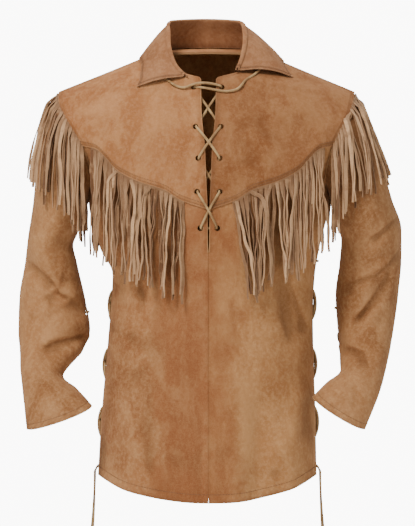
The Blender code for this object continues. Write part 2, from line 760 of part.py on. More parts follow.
def strand_section(centre, across, outward, twist, width):
    """Four corners of a strand's cross-section, turned by its twist about its own length."""
    wide = (across * math.cos(twist) + outward * math.sin(twist)) * width / 2
    thick = (outward * math.cos(twist) - across * math.sin(twist)) * strand_thickness / 2
    return [centre - wide - thick, centre - wide + thick, centre + wide + thick, centre + wide - thick]


def strip_station(sheet, top, bottom, low):
    """The strip's four corners at one station, between two places of the sheet."""
    high = low + strand_thickness
    return (sheet.at(*top, low), sheet.at(*top, high), sheet.at(*bottom, low), sheet.at(*bottom, high))


def even_stations(sheet, row, columns, spacing):
    """Columns at even distances along a row of the sheet."""
    start, end = columns
    count = 200
    places = [start + (end - start) * i / count for i in range(count + 1)]
    length, run = 0.0, [0.0]
    for a, b in zip(places, places[1:]):
        length += (sheet.at(row, b) - sheet.at(row, a)).length
        run.append(length)
    strands = round(length / spacing)
    stations, k = [], 0
    for s in range(strands + 1):
        goal = length * s / strands
        while k < count - 1 and run[k + 1] < goal:
            k += 1
        share = (goal - run[k]) / (run[k + 1] - run[k])
        stations.append(places[k] + (places[k + 1] - places[k]) * min(share, 1.0))
    return stations


def hang_strand(root, next_root, layer, length, low, shares, rng, fall):
    """The later cross-sections of a strand that falls from its root over the cloth. Neighbours
    hang in two layers, so that they stay apart as they sway and twist."""
    start = (root[2] + root[3] + next_root[2] + next_root[3]) / 4
    sway = rng.uniform(-strand_sway, strand_sway)
    twist = rng.uniform(-strand_twist, strand_twist)
    spread = rng.uniform(*strand_lift) * MM
    sections = []
    for share in shares:
        place, normal = fall(start, share * length, sway * share)
        outward = Vector((normal.x, normal.y, 0)).normalized()
        across = (next_root[2] - root[2]).normalized()
        across = (across - outward * across.dot(outward)).normalized()
        rise = low + strand_thickness / 2 + layer * min(1.0, share * 2.4) + spread * share * share
        width = strand_width * (1.0 if share < 1 else strand_tip)
        sections.append(strand_section(place + normal * rise, across, outward, twist * share, width))
    return sections


def add_yoke_fringe(name, sheet, columns, seed, collection):
    """Fringe along the yoke's lower edge. It hangs straight down over the body, and near the
    side it follows the body in."""
    rng = random.Random(seed)
    stations = even_stations(sheet, yoke_row, columns, strand_pitch)
    roots = []
    for column in stations:
        top = sheet.step(yoke_row, column, yoke_row - 1, column, edge_gap)
        bottom = sheet.step(yoke_row, column, yoke_row - 1, column, edge_gap + strip_height)
        roots.append(strip_station(sheet, top, bottom, strip_gap))
    paths = []
    for number in range(len(stations) - 1):
        column = (stations[number] + stations[number + 1]) / 2
        length = yoke_fringe["length"] + rng.uniform(-0.5, 0.5) * yoke_fringe["spread"]
        follow = smooth_step(column / front_columns, 0.45, 0.75)

        def fall(start, down, sway, column=column, follow=follow):
            row, plumb = sheet.find(yoke_row - 0.3, column, start.x + sway, start.z - down)
            column = plumb + (column - plumb) * follow
            row = row_at_height(sheet, column, start.z - down)
            return sheet.at(row, column), sheet.normal(row, column)

        layer = yoke_fringe["layers"][number % 2]
        paths.append(hang_strand(roots[number], roots[number + 1], layer, length, strip_gap,
                                 yoke_fringe["sections"], rng, fall))
    return add_fringe(name, roots, paths, "fringe", collection)


def add_armhole_fringe(name, sheet, seed, collection):
    """Fringe along the armhole seam. It falls over the sleeve from the front of the armhole, over
    the shoulder, to its back."""
    rng = random.Random(seed)
    tops = len(armhole_rows) - 1

    def row_of(level):
        i = max(n for n, known in enumerate(armhole_rows[:-1]) if known <= level)
        return i + (level - armhole_rows[i]) / (armhole_rows[i + 1] - armhole_rows[i])

    first = row_of(armhole_fringe["back_level"])
    last = 2 * tops - row_of(armhole_fringe["front_level"])
    stations = even_stations(sheet, 0, (first, last), strand_pitch)
    roots = []
    for column in stations:
        top = sheet.step(0, column, 3, column, edge_gap)
        bottom = sheet.step(0, column, 4, column, edge_gap + strip_height)
        roots.append(strip_station(sheet, top, bottom, armhole_strip_gap))
    paths = []
    for number in range(len(stations) - 1):
        column = (stations[number] + stations[number + 1]) / 2
        length = armhole_fringe["length"] + rng.uniform(-0.5, 0.5) * armhole_fringe["spread"]

        def fall(start, down, sway, column=column):
            place = sheet.step(0, column, sheet.rows - 1, column, down + strip_height)
            over = (sheet.at(place[0], place[1] + 0.1) - sheet.at(*place)).normalized()
            return sheet.at(*place) + over * sway, sheet.normal(*place)

        layer = armhole_fringe["layers"][number % 2]
        paths.append(hang_strand(roots[number], roots[number + 1], layer, length, armhole_strip_gap,
                                 armhole_fringe["sections"], rng, fall))
    return add_fringe(name, roots, paths, "fringe", collection)


def add_tube(name, points, diameter, resolution, material, collection, closed=False):
    """A tube of leather thong along some points, as a closed mesh."""
    curve = bpy.data.curves.new(name, "CURVE")
    curve.dimensions = "3D"
    curve.bevel_depth = diameter / 2
    curve.bevel_resolution = resolution
    curve.use_fill_caps = not closed
    spline = curve.splines.new("POLY")
    spline.points.add(len(points) - 1)
    for knot, point in zip(spline.points, points):
        knot.co = (*point, 1)
    spline.use_cyclic_u = closed
    tube = bpy.data.objects.new(name, curve)
    collection.objects.link(tube)
    curve.materials.append(make_material(material))
    return tube


def smooth_path(points, steps):
    """Points on a smooth curve through the given ones."""
    path = []
    for k in range(len(points) - 1):
        before, start = points[max(k - 1, 0)], points[k]
        end, after = points[k + 1], points[min(k + 2, len(points) - 1)]
        for s in range(steps):
            t = s / steps
            path.append(0.5 * (2 * start + (end - before) * t
                               + (2 * before - 5 * start + 4 * end - after) * t * t
                               + (3 * start - before - 3 * end + after) * t**3))
    return path + [points[-1]]


def cloth_tree(corners):
    return BVHTree.FromPolygons(corners, [(i, i + 1, i + 2) for i in range(0, len(corners), 3)])


def seam_trees(sheets):
    """The outer and inner faces of the panels on both sides of a seam."""
    return {
        face: cloth_tree([corner for sheet in sheets for corner in sheet.facets(0, sheet.rows - 1, out)])
        for face, out in (("outer", 0.0), ("inner", -wall))
    }


def front_trees(sheets):
    """The same for the front lace, which lies on the yoke as far as the yoke reaches."""
    outer = [corner for sheet in sheets for corner in
             sheet.facets(0, yoke_row, 0.0) + sheet.facets(yoke_row, sheet.rows - 1, layer_gap + wall)]
    inner = [corner for sheet in sheets for corner in sheet.facets(0, sheet.rows - 1, -wall)]
    return {"outer": cloth_tree(outer), "inner": cloth_tree(inner)}


def knot(point, away, face):
    """One point of a lace, with the face of the cloth it runs on and the way off that face."""
    return {"point": point, "away": away, "face": face}


def lift_clear(route, trees):
    """Lift a lace's knots off the cloth, until it is clear of the cloth between them as well."""
    need = thong_gap + thong / 2
    for _ in range(lift_rounds):
        for start, end in zip(route, route[1:]):
            if start["face"] != end["face"]:
                continue
            for t in (0.0, 0.2, 0.4, 0.6, 0.8, 1.0):
                place = start["point"].lerp(end["point"], t)
                off = place - trees[start["face"]].find_nearest(place)[0]
                away = start["away"].lerp(end["away"], t)
                short = need - math.copysign(off.length, off.dot(away))
                if short > 0:
                    share = short / ((1 - t) ** 2 + t**2)
                    start["point"] = start["point"] + start["away"] * share * (1 - t)
                    end["point"] = end["point"] + end["away"] * share * t
    return route


def criss_cross(pairs, first_arm):
    """One arm of a lace: into a hole, across the gap and out of the next pair's other hole, then
    across outside. A pair holds its two holes and the middle of the gap, each a point, a normal
    and the height of the cloth's outer face there."""
    route = []
    for k, pair in enumerate(pairs):
        point, normal, top = pair[(first_arm + k) % 2]
        over = knot(point + normal * (top + thong_gap + thong / 2), normal, "outer")
        under = knot(point - normal * (wall + thong_gap + thong / 2), -normal, "inner")
        route += [over, under] if k % 2 == 0 else [under, over]
        if k + 1 < len(pairs):
            here, there = pair[2], pairs[k + 1][2]
            middle, normal = (here[0] + there[0]) / 2, (here[1] + there[1]).normalized()
            top = max(here[2], there[2])
            if k % 2 == 0:
                route.append(knot(middle - normal * (wall + thong_gap + thong / 2), -normal, "inner"))
            else:
                route.append(knot(middle + normal * (top + thong_gap + thong / 2), normal, "outer"))
    return route


def lay_over(lower, upper):
    """Lift the second arm of a lace over the first, where they cross between the pairs of holes."""
    crossing = thong + thong_gap
    for first, second in list(zip(lower, upper))[2::3]:
        apart = (second["point"] - first["point"]).dot(second["away"])
        second["point"] = second["point"] + second["away"] * max(0.0, crossing - apart)


def add_punch(name, places, collection):
    """One cutter for all the holes of a panel: a short square post along the normal at each."""
    body = bmesh.new()
    for point, normal in places:
        turned = normal.to_track_quat("Z", "Y").to_matrix().to_4x4()
        turned.translation = point
        bmesh.ops.create_cone(body, cap_ends=True, segments=4, radius1=hole / math.sqrt(2),
                              radius2=hole / math.sqrt(2), depth=punch_depth, matrix=turned)
    mesh = bpy.data.meshes.new(name)
    body.to_mesh(mesh)
    body.free()
    punch = bpy.data.objects.new(name, mesh)
    punch.hide_render = True
    punch.display_type = "WIRE"
    collection.objects.link(punch)
    return punch


def cut(thing, punch):
    modifier = thing.modifiers.new("holes", "BOOLEAN")
    modifier.operation = "DIFFERENCE"
    modifier.solver = "EXACT"
    modifier.object = punch


def front_lace_places(fronts):
    """The front's five pairs of holes, each with the middle of the slit between them."""
    pairs = []
    for number, row in enumerate(front_holes):
        pair = []
        top = layer_gap + wall if number < yoke_hole_pairs else 0.0
        for side in ("left", "right"):
            sheet = fronts[side]
            place = sheet.find(yoke_row, 1, sides[side] * row[side + "_x"] * MM, row["z"] * MM)
            pair.append((sheet.at(*place), sheet.normal(*place), top))
        middle = (pair[0][0] + pair[1][0]) / 2
        pair.append((middle, (pair[0][1] + pair[1][1]).normalized(), top))
        pairs.append(pair)
    return pairs


def row_of_level(level):
    i = max(n for n, known in enumerate(body_rows[:-1]) if known <= level)
    return i + (level - body_rows[i]) / (body_rows[i + 1] - body_rows[i])


def front_lace_run(side, fronts, backs):
    """The lace from over the slit, along the yoke, under the collar and to the back of the neck."""
    height = layer_gap + wall + thong_gap + thong / 2
    run = []
    for row in front_lace_runs[side]:
        sheet = fronts["left" if row["x"] > 0 else "right"]
        place = sheet.find(row_of_level(neck_level), 1, row["x"] * MM, row["z"] * MM)
        point = sheet.at(*place, height + row["lift"] * MM)
        run.append(knot(Vector((row["x"] * MM, point.y, row["z"] * MM)), sheet.normal(*place), "outer"))
    for row in under_collar:
        sheet = fronts[side] if row["face"] == "front" else backs[side]
        place = row_of_level(row["level"]), row["out"] * front_columns
        run.append(knot(sheet.at(*place, height), sheet.normal(*place), "outer"))
    return run


def front_lace(pairs, fronts, backs):
    """One thong, tied in a ring: it runs round the neck, its two sides cross above the first
    holes and again between all the pairs, and they meet behind the last pair."""
    trees = front_trees([*fronts.values(), *backs.values()])
    to_left, to_right = (lift_clear(front_lace_run(side, fronts, backs), trees) for side in sides)
    first, second = (lift_clear(criss_cross(pairs, arm), trees) for arm in (1, 0))
    lay_over(first, second)
    middle, normal, _ = pairs[-1][2]
    bar = knot(middle - normal * (wall + thong_gap + thong / 2), -normal, "inner")
    row = row_of_level(back_neck_level)
    nape = knot(backs["left"].at(row, 0, layer_gap + wall + 2 * thong_gap + thong / 2),
                backs["left"].normal(row, 0), "outer")
    ring = [nape] + to_left[::-1] + first + [bar] + second[::-1] + to_right
    return [place["point"] for place in ring]


def row_at_height(sheet, column, z):
    low, high = 0.0, float(yoke_row)
    for _ in range(30):
        middle = (low + high) / 2
        low, high = (middle, high) if sheet.at(middle, column).z < z else (low, middle)
    return low


def lace_pair(holes, edges):
    """Two holes and the middle of the gap between the edges, each a point, a normal and a height."""
    middle = (edges[0][0] + edges[1][0]) / 2
    normal = (edges[0][1] + edges[1][1]).normalized()
    return [(*holes[0], 0.0), (*holes[1], 0.0), (middle, normal, 0.0)]


def side_lace_places(front, back):
    """Pairs of holes down a side seam, from under the arm to the hem."""
    pairs = []
    edge = front_columns
    for k in range(side_lace["pairs"]):
        share = k / (side_lace["pairs"] - 1)
        z = side_lace["top_z"] + (side_lace["bottom_z"] - side_lace["top_z"]) * share
        holes, edges = [], []
        for sheet in (front, back):
            row = row_at_height(sheet, edge, z)
            place = sheet.step(row, edge, row, edge - 1, hole_inset)
            holes.append((sheet.at(*place), sheet.normal(*place)))
            edges.append((sheet.at(row, edge), sheet.normal(row, edge)))
        pairs.append(lace_pair(holes, edges))
    return pairs


def sleeve_lace_places(sheet):
    """Pairs of holes down a sleeve's seam, from the elbow to the cuff."""
    pairs = []
    for k in range(sleeve_lace["pairs"]):
        share = k / (sleeve_lace["pairs"] - 1)
        goal = sleeve_lace["top"] + (sleeve_lace["bottom"] - sleeve_lace["top"]) * share
        i = max(n for n, place in enumerate(sleeve_rows[:-1]) if place <= goal)
        row = i + (goal - sleeve_rows[i]) / (sleeve_rows[i + 1] - sleeve_rows[i])
        holes, edges = [], []
        for edge, inward in ((0, 1), (sheet.columns - 1, -1)):
            place = sheet.step(row, edge, row, edge + inward, hole_inset)
            holes.append((sheet.at(*place), sheet.normal(*place)))
            edges.append((sheet.at(row, edge), sheet.normal(row, edge)))
        pairs.append(lace_pair(holes, edges))
    return pairs


def seam_lace(pairs, trees):
    """A lace with a bar over its first pair of holes and both ends out of its last pair."""
    middle, normal, top = pairs[0][2]
    bar = knot(middle + normal * (top + thong_gap + thong / 2), normal, "outer")
    first, second = criss_cross(pairs, 0), criss_cross(pairs, 1)
    lift_clear(second[::-1] + [bar] + first, trees)
    lay_over(first, second)
    return [place["point"] for place in second[::-1] + [bar] + first]


def side_lace_route(pairs, trees):
    """A side lace, whose ends turn down outside the last holes, and where each end leaves it."""
    route = seam_lace(pairs, trees)
    down = pairs[-1][2][1] * thong - Vector((0, 0, lace_tail))
    return [route[0] + down] + route + [route[-1] + down]


def free_end_route(lace, side, end):
    """A free end of a lace: on from the lace's last two points, then down and swinging aside."""
    onward = (lace[-1] - lace[-2]).normalized()
    tip = Vector((sides[side] * end["swing_out"], end["swing_y"], -end["length"])) * MM
    start = lace[-1] + onward * seam_gap
    knots = [start + onward * thong]
    for share in (0.12, 0.35, 0.65, 1.0):
        aside = math.sin(math.pi * share) * Vector((0, 3.0 * MM, 0))
        knots.append(knots[0] + Vector((tip.x * share**1.6, tip.y * share**1.6, tip.z * share)) + aside)
    return [start] + smooth_path(knots, end_steps)


def holes_of(pairs, which):
    return [(pair[which][0], pair[which][1]) for pair in pairs]


def main():
    for thing in list(bpy.data.objects):
        bpy.data.objects.remove(thing)
    parts = new_collection("fringe_shirt")
    cutters = new_collection("cutters")

    fronts = {side: body_sheet(side, "front") for side in sides}
    backs = {side: body_sheet(side, "back") for side in sides}
    sleeves = {side: sleeve_sheet(side) for side in sides}
    yoke_low, yoke_high = layer_gap, layer_gap + wall

    front_pairs = front_lace_places(fronts)
    side_pairs = {side: side_lace_places(fronts[side], backs[side]) for side in sides}
    sleeve_pairs = {side: sleeve_lace_places(sleeves[side]) for side in sides}

    for number, side in enumerate(sides):
        panel = add_cloth("front_" + side, [fronts[side]], -wall, 0.0, 0, "panel_" + side, parts)
        places = holes_of(front_pairs, number) + holes_of(side_pairs[side], 0)
        cut(panel, add_punch("punch_front_" + side, places, cutters))
        yoke = add_cloth("yoke_front_" + side, [fronts[side]], yoke_low, yoke_high, yoke_row, "yoke", parts)
        cut(yoke, add_punch("punch_yoke_" + side, holes_of(front_pairs[:yoke_hole_pairs], number), cutters))
        sleeve = add_cloth("sleeve_" + side, [sleeves[side]], -wall, 0.0, 0, "sleeve", parts)
        places = holes_of(sleeve_pairs[side], 0) + holes_of(sleeve_pairs[side], 1)
        cut(sleeve, add_punch("punch_sleeve_" + side, places, cutters))
        columns = yoke_fringe["front_columns"], yoke_fringe["back_columns"]
        add_yoke_fringe("fringe_front_" + side, fronts[side], columns[0], 11 + number, parts)
        add_yoke_fringe("fringe_back_" + side, backs[side], columns[1], 31 + number, parts)
        add_armhole_fringe("fringe_armhole_" + side, sleeves[side], 21 + number, parts)
        route = side_lace_route(side_pairs[side], seam_trees([fronts[side], backs[side]]))
        add_tube("lace_side_" + side, route, thong, 0, "thong", parts)
        for lace, end in zip((route, route[::-1]), free_ends):
            name = "lace_end_" + end["name"] + "_" + side
            add_tube(name, free_end_route(lace, side, end), thong, 2, "thong", parts)
        route = seam_lace(sleeve_pairs[side], seam_trees([sleeves[side]]))
        add_tube("lace_sleeve_" + side, route, thong, 0, "thong", parts)

    both = [backs["left"], backs["right"]]
    panel = add_cloth("back", both, -wall, 0.0, 0, "panel_left", parts)
    places = holes_of(side_pairs["left"], 1) + holes_of(side_pairs["right"], 1)
    cut(panel, add_punch("punch_back", places, cutters))
    add_cloth("yoke_back", both, yoke_low, yoke_high, yoke_row, "yoke", parts)
    add_cloth("collar", [collar_sheet()], -wall, 0.0, 0, "yoke", parts)
    add_tube("lace_front", front_lace(front_pairs, fronts, backs), thong, 0, "thong", parts, closed=True)


main()
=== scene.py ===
# Fringe shirt of brushed suede: the finished cloth, fringe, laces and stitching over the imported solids.
# Sizes in the tables are in mm, the front is -Y and the wearer's left is +X.
import json
import math
import random

import bpy
import numpy as np
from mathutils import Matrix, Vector
from mathutils.bvhtree import BVHTree

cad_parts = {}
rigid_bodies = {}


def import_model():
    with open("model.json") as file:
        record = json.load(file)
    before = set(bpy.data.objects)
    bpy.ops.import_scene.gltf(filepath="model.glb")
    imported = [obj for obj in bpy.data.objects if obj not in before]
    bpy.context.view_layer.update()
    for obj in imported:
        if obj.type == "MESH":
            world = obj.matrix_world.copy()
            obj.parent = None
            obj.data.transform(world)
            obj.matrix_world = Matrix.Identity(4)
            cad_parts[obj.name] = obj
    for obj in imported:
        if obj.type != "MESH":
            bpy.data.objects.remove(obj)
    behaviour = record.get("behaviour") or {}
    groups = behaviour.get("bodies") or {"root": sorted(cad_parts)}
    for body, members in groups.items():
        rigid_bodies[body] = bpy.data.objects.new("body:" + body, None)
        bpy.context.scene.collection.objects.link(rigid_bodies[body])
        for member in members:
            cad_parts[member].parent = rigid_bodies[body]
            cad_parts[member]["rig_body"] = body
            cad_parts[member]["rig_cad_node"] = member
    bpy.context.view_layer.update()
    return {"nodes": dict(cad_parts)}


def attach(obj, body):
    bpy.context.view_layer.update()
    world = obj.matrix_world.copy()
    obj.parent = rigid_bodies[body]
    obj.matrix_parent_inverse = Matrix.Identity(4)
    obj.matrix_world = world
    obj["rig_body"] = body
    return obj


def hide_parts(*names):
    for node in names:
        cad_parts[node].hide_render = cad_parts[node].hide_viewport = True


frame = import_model()
mm = 0.001
# a full turn in radians, rounded
fullTurn = 6.3
sides = {"left": 1, "right": -1}


def rowsOf(columns, rows):
    return [dict(zip(columns, row)) for row in rows]


# camera and light

view = {"distance": 9.0, "centreX": -0.0017, "centreZ": -0.349, "height": 0.9047, "sensor": 24.0}
stage = {"floorZ": -1.02, "radius": 3.4, "floorGlow": 0.42, "world": 0.28, "seenWorld": 10.0,
         "worldColour": (1, 0.99, 0.975, 1), "lampsAim": (0, 0, -0.35)}
lamps = rowsOf(("name", "power", "size", "place", "colour"), (
    ("keyLight", 146, 1.0, (-1.3, -2.1, 2.3), (1.0, 0.97, 0.93)),
    ("fillLight", 19, 2.2, (2.6, -2.6, 0.4), (0.95, 0.97, 1.0)),
    ("topLight", 38, 1.4, (0.2, 0.4, 2.4), (1, 1, 1)),
    ("backLight", 34, 1.8, (0.4, 2.6, 1.2), (1, 1, 1))))


def addObject(name, data):
    thing = bpy.data.objects.new(name, data)
    bpy.context.scene.collection.objects.link(thing)
    return thing


def lookAt(thing, target):
    thing.rotation_euler = (Vector(target) - thing.location).to_track_quat("-Z", "Y").to_euler()


def addCamera():
    data = bpy.data.cameras.new("camera")
    camera = addObject("camera", data)
    camera.location = (view["centreX"], -view["distance"], view["centreZ"])
    lookAt(camera, (view["centreX"], 0, view["centreZ"]))
    data.sensor_fit = "VERTICAL"
    data.sensor_height = view["sensor"]
    data.lens = view["sensor"] * view["distance"] / view["height"]
    bpy.context.scene.camera = camera


def addLamp(name, power, size, place, colour):
    data = bpy.data.lights.new(name, "AREA")
    data.energy = power
    data.size = size
    data.color = colour
    lamp = addObject(name, data)
    lamp.location = place
    lookAt(lamp, stage["lampsAim"])


addCamera()
for row in lamps:
    addLamp(**row)
print("camera and lights are in place")


# nodes and colours

def linear(code):
    # sRGB hex to linear
    values = [int(code[i:i + 2], 16) / 255 for i in (1, 3, 5)]
    return tuple(v / 12.92 if v <= 0.04045 else ((v + 0.055) / 1.055) ** 2.4 for v in values) + (1,)


def addNode(tree, kind, inputs=None, **settings):
    node = tree.nodes.new(kind)
    for name, value in settings.items():
        setattr(node, name, value)
    for name, value in (inputs or {}).items():
        if isinstance(value, bpy.types.NodeSocket):
            tree.links.new(value, node.inputs[name])
        else:
            node.inputs[name].default_value = value
    return node


def newMaterial(name, roughness, specular):
    material = bpy.data.materials.new(name)
    material.use_nodes = True
    shader = material.node_tree.nodes["Principled BSDF"]
    shader.inputs["Roughness"].default_value = roughness
    shader.inputs["Specular IOR Level"].default_value = specular
    return material, material.node_tree, shader


def noiseOf(tree, coordinates, feature, detail=3.0, rough=0.55, distortion=0.0):
    # feature is the size of a blotch in mm
    return addNode(tree, "ShaderNodeTexNoise", {
        "Vector": coordinates, "Scale": 1000 / feature, "Detail": detail,
        "Roughness": rough, "Distortion": distortion}).outputs["Fac"]


def spread(tree, value, low, high, toLow=0.0, toHigh=1.0):
    return addNode(tree, "ShaderNodeMapRange", {
        "Value": value, "From Min": low, "From Max": high, "To Min": toLow, "To Max": toHigh},
        interpolation_type="SMOOTHSTEP").outputs["Result"]


def mixed(tree, share, first, second, way="MIX"):
    return addNode(tree, "ShaderNodeMixRGB", {"Fac": share, "Color1": first, "Color2": second},
                   blend_type=way).outputs["Color"]


def maths(tree, first, second, way="MULTIPLY", clamp=False):
    return addNode(tree, "ShaderNodeMath", {0: first, 1: second},
                   operation=way, use_clamp=clamp).outputs["Value"]


def attributeOf(tree, name):
    return addNode(tree, "ShaderNodeAttribute", attribute_name=name).outputs["Fac"]


def placeOf(tree):
    return addNode(tree, "ShaderNodeTexCoord").outputs["Object"]


def addSheen(shader, weight, roughness, tint):
    shader.inputs["Sheen Weight"].default_value = weight
    shader.inputs["Sheen Roughness"].default_value = roughness
    shader.inputs["Sheen Tint"].default_value = linear(tint)


def addBump(tree, shader, height, strength, depth):
    # depth is in mm
    bump = addNode(tree, "ShaderNodeBump", {"Height": height, "Strength": strength, "Distance": depth * mm})
    tree.links.new(bump.outputs["Normal"], shader.inputs["Normal"])


# the suede's marks by size in mm; stroked ones run down the hide
suedeMarks = rowsOf(("name", "stroked", "size", "detail", "rough", "distortion", "low", "high"), (
    ("clouds", True, 150, 4, 0.6, 0.5, 0.36, 0.66),
    ("marks", True, 36, 6, 0.7, 0.4, 0.39, 0.66),
    ("strokes", True, 15, 6, 0.72, 0.8, 0.38, 0.66),
    ("flecks", False, 6, 4, 0.7, 0.0, 0.42, 0.66)))
# how strongly each of them changes the colour, and how strongly the painted light on ridges, the painted
# shade in troughs and under the fringe, and the edges do; warmFade is in mm
suedeShares = {"marks": 0.55, "strokes": 0.27, "flecks": 0.26, "ridge": 0.45, "trough": 0.5, "under": 0.62,
               "rim": 0.45, "nap": 0.16, "drift": 0.05, "patchy": 0.35, "warmFade": 90}


def suede(name, look):
    # split cowhide, drum dyed and brushed: a matt nap that marks where it is stroked, so the tone drifts in
    # clouds, with small flecks; painted light makes ridges paler, and painted shade darkens troughs, the
    # cloth under the fringe and the seams, whose edges are also soiled
    material, tree, shader = newMaterial(name, 0.94, 0.18)
    addSheen(shader, 0.1, 0.45, "#E8C7A0")
    place = placeOf(tree)
    stroked = addNode(tree, "ShaderNodeMapping", {"Vector": place, "Scale": (1.0, 1.0, 0.55)})
    marked = {}
    for row in suedeMarks:
        noise = noiseOf(tree, stroked.outputs["Vector"] if row["stroked"] else place, row["size"],
                        row["detail"], row["rough"], row["distortion"])
        marked[row["name"]] = spread(tree, noise, row["low"], row["high"])
    clouds, marks = marked["clouds"], marked["marks"]
    nap = noiseOf(tree, place, 1.4, 3, 0.7)
    colour = mixed(tree, clouds, linear(look["dark"]), linear(look["base"]))

    def lay(share, tone):
        return mixed(tree, share, colour, linear(look[tone]))

    def part(value, key):
        return maths(tree, value, suedeShares[key])

    for key, tone in (("marks", "light"), ("strokes", "dark"), ("flecks", "fleck")):
        colour = lay(part(marked[key], key), tone)
    # the redder part of a panel fades in towards a place
    split = addNode(tree, "ShaderNodeSeparateXYZ", {"Vector": place})
    drift = maths(tree, part(clouds, "drift"), split.outputs["X"], "ADD")
    aside = maths(tree, drift, look["warmX"] * mm, "SUBTRACT")
    near = spread(tree, maths(tree, aside, aside), 0.0, (look["warmWidth"] * mm) ** 2, 1.0, 0.0)
    top = look["warmTop"]
    low = spread(tree, split.outputs["Z"], top * mm, (top - suedeShares["warmFade"]) * mm)
    warmth = maths(tree, maths(tree, near, low), part(marks, "patchy"), "SUBTRACT")
    colour = lay(maths(tree, warmth, look["warmth"], clamp=True), "warm")
    # painted light and shade: ridges are painted paler and troughs darker
    fold = attributeOf(tree, "fold")
    colour = lay(part(spread(tree, fold, 0.05, 1.0), "ridge"), "light")
    colour = lay(part(spread(tree, fold, -0.05, -1.0), "trough"), "deep")
    # painted shade: the cloth under the fringe is darkened towards the dark colour
    colour = lay(part(attributeOf(tree, "under"), "under"), "deep")
    # the sewn edge is darkened, partly as soiling and partly as painted shade of its stitched dip and shadow
    # line, and its cut rim is rubbed pale
    edge = attributeOf(tree, "edge")
    soiledAndShaded = spread(tree, marks, 0.2, 0.9, 0.45, 0.15)
    colour = lay(maths(tree, spread(tree, edge, 0.25, 1.0, 1.0, 0.0), soiledAndShaded), "deep")
    colour = lay(spread(tree, edge, 0.0, 0.3, suedeShares["rim"], 0.0), "fleck")
    colour = lay(spread(tree, nap, 0.3, 0.75, 0.0, suedeShares["nap"]), "fleck")
    tree.links.new(colour, shader.inputs["Base Color"])
    relief = maths(tree, maths(tree, nap, 0.55), maths(tree, marks, 0.45), "ADD")
    addBump(tree, shader, relief, 0.5, 0.9)
    return material


# the darkest colour paints the shade in troughs and under the fringe, and the soiled and shaded edges
tan = {"base": "#A97545", "dark": "#8A552B", "light": "#BF8F5E", "deep": "#5C3519", "fleck": "#C99D6E",
       "warm": "#7C4525", "warmX": 0, "warmWidth": 90, "warmTop": -200, "warmth": 0.0}


def shadeOf(**changes):
    return {**tan, **changes}


suedes = {
    "yoke": suede("brushedSuedeYoke", shadeOf(
        base="#A06B41", dark="#854F2A", light="#B78558", fleck="#BF9068")),
    "yokeLeft": suede("brushedSuedeYokeLeft", shadeOf(
        base="#8A5A37", dark="#744422", light="#A0734B", deep="#4E2C16", fleck="#AC7F5A")),
    "collar": suede("brushedSuedeCollar", shadeOf(
        base="#8F6040", dark="#77492B", light="#A87A55", deep="#54301A", fleck="#B18663")),
    "frontRight": suede("brushedSuedeFrontRight", shadeOf(
        base="#9E6840", dark="#804D2C", light="#B48559", warmX=-5, warmWidth=90, warmth=0.75)),
    "frontLeft": suede("brushedSuedeFrontLeft", shadeOf(
        base="#A27045", dark="#875731", light="#B88858", warmX=25, warmWidth=80, warmth=0.75)),
    "back": suede("brushedSuedeBack", shadeOf(warmX=20, warmWidth=150, warmth=0.35, warmTop=-300)),
    "sleeve": suede("brushedSuedeSleeve", shadeOf(base="#9E6D45", dark="#7E4F2D", light="#B5865A")),
}


# what changes the colour of a strand, over which range and how far
strandLook = rowsOf(("by", "low", "high", "most", "colour"), (
    ("marks", 0.5, 0.7, 0.55, "#B08A66"),
    ("marks", 0.5, 0.32, 0.5, "#6E4B35"),
    ("rim", 0.35, 1.0, 0.35, "#C79C7A"),
    ("fuzz", 0.35, 0.75, 0.3, "#85593A")))


def strandSuede():
    # strands cut from the same hide: the brushed face is tan, the cut edges and the flesh side are a fuzzy
    # pinkish grey, and each strand has its own tone, which also holds painted shade
    material, tree, shader = newMaterial("cutSuedeStrand", 0.95, 0.15)
    addSheen(shader, 0.25, 0.5, "#F0D5B8")
    place = placeOf(tree)
    fuzz = noiseOf(tree, place, 1.6, 3, 0.7)
    causes = {"marks": noiseOf(tree, place, 20, 4, 0.7), "rim": attributeOf(tree, "rim"), "fuzz": fuzz}
    colour = mixed(tree, attributeOf(tree, "tone"), linear("#5C3E28"), linear("#C9A27A"))
    for row in strandLook:
        share = spread(tree, causes[row["by"]], row["low"], row["high"], 0.0, row["most"])
        colour = mixed(tree, share, colour, linear(row["colour"]))
    tree.links.new(colour, shader.inputs["Base Color"])
    addBump(tree, shader, fuzz, 0.5, 0.5)
    return material


def thongLeather():
    # soft oil-tanned thong, cut from a side and rolled: pale, a little shiny, darker where handled
    material, tree, shader = newMaterial("rolledThongLeather", 0.7, 0.35)
    place = placeOf(tree)
    handled = noiseOf(tree, place, 22, 4, 0.6)
    fibre = noiseOf(tree, place, 1.2, 3, 0.7)
    colour = mixed(tree, spread(tree, handled, 0.35, 0.68), linear("#8A6842"), linear("#B39365"))
    colour = mixed(tree, spread(tree, fibre, 0.4, 0.8, 0.0, 0.4), colour, linear("#775839"))
    tree.links.new(colour, shader.inputs["Base Color"])
    addBump(tree, shader, fibre, 0.4, 0.4)
    return material


def sewingThread():
    # twisted polyester thread: a low sheen, with the twist as fine dark lines
    material, tree, shader = newMaterial("twistedThread", 0.6, 0.4)
    twist = noiseOf(tree, placeOf(tree), 0.8, 2, 0.5)
    colour = mixed(tree, spread(tree, twist, 0.35, 0.7), linear("#5A3A20"), linear("#7E5733"))
    tree.links.new(colour, shader.inputs["Base Color"])
    return material


strandFinish = strandSuede()
thongFinish = thongLeather()
threadFinish = sewingThread()
print("materials are made")


# free lace ends, which repeat the routes of their solids

freeEnds = {
    "diameter": 4.0,
    "starts": {"left": (190.4, 14.1, -703.7), "right": (-193.7, 14.1, -703.4)},
    "onward": (1.6, 0.0, -3.2),
    "knots": (0.12, 0.35, 0.65, 1.0), "bow": 3.0, "swingPower": 1.6, "steps": 6,
    "long": {"length": 128, "swingOut": 9, "swingY": -9, "y": 1},
    "short": {"length": 98, "swingOut": 3, "swingY": 10, "y": -1},
}


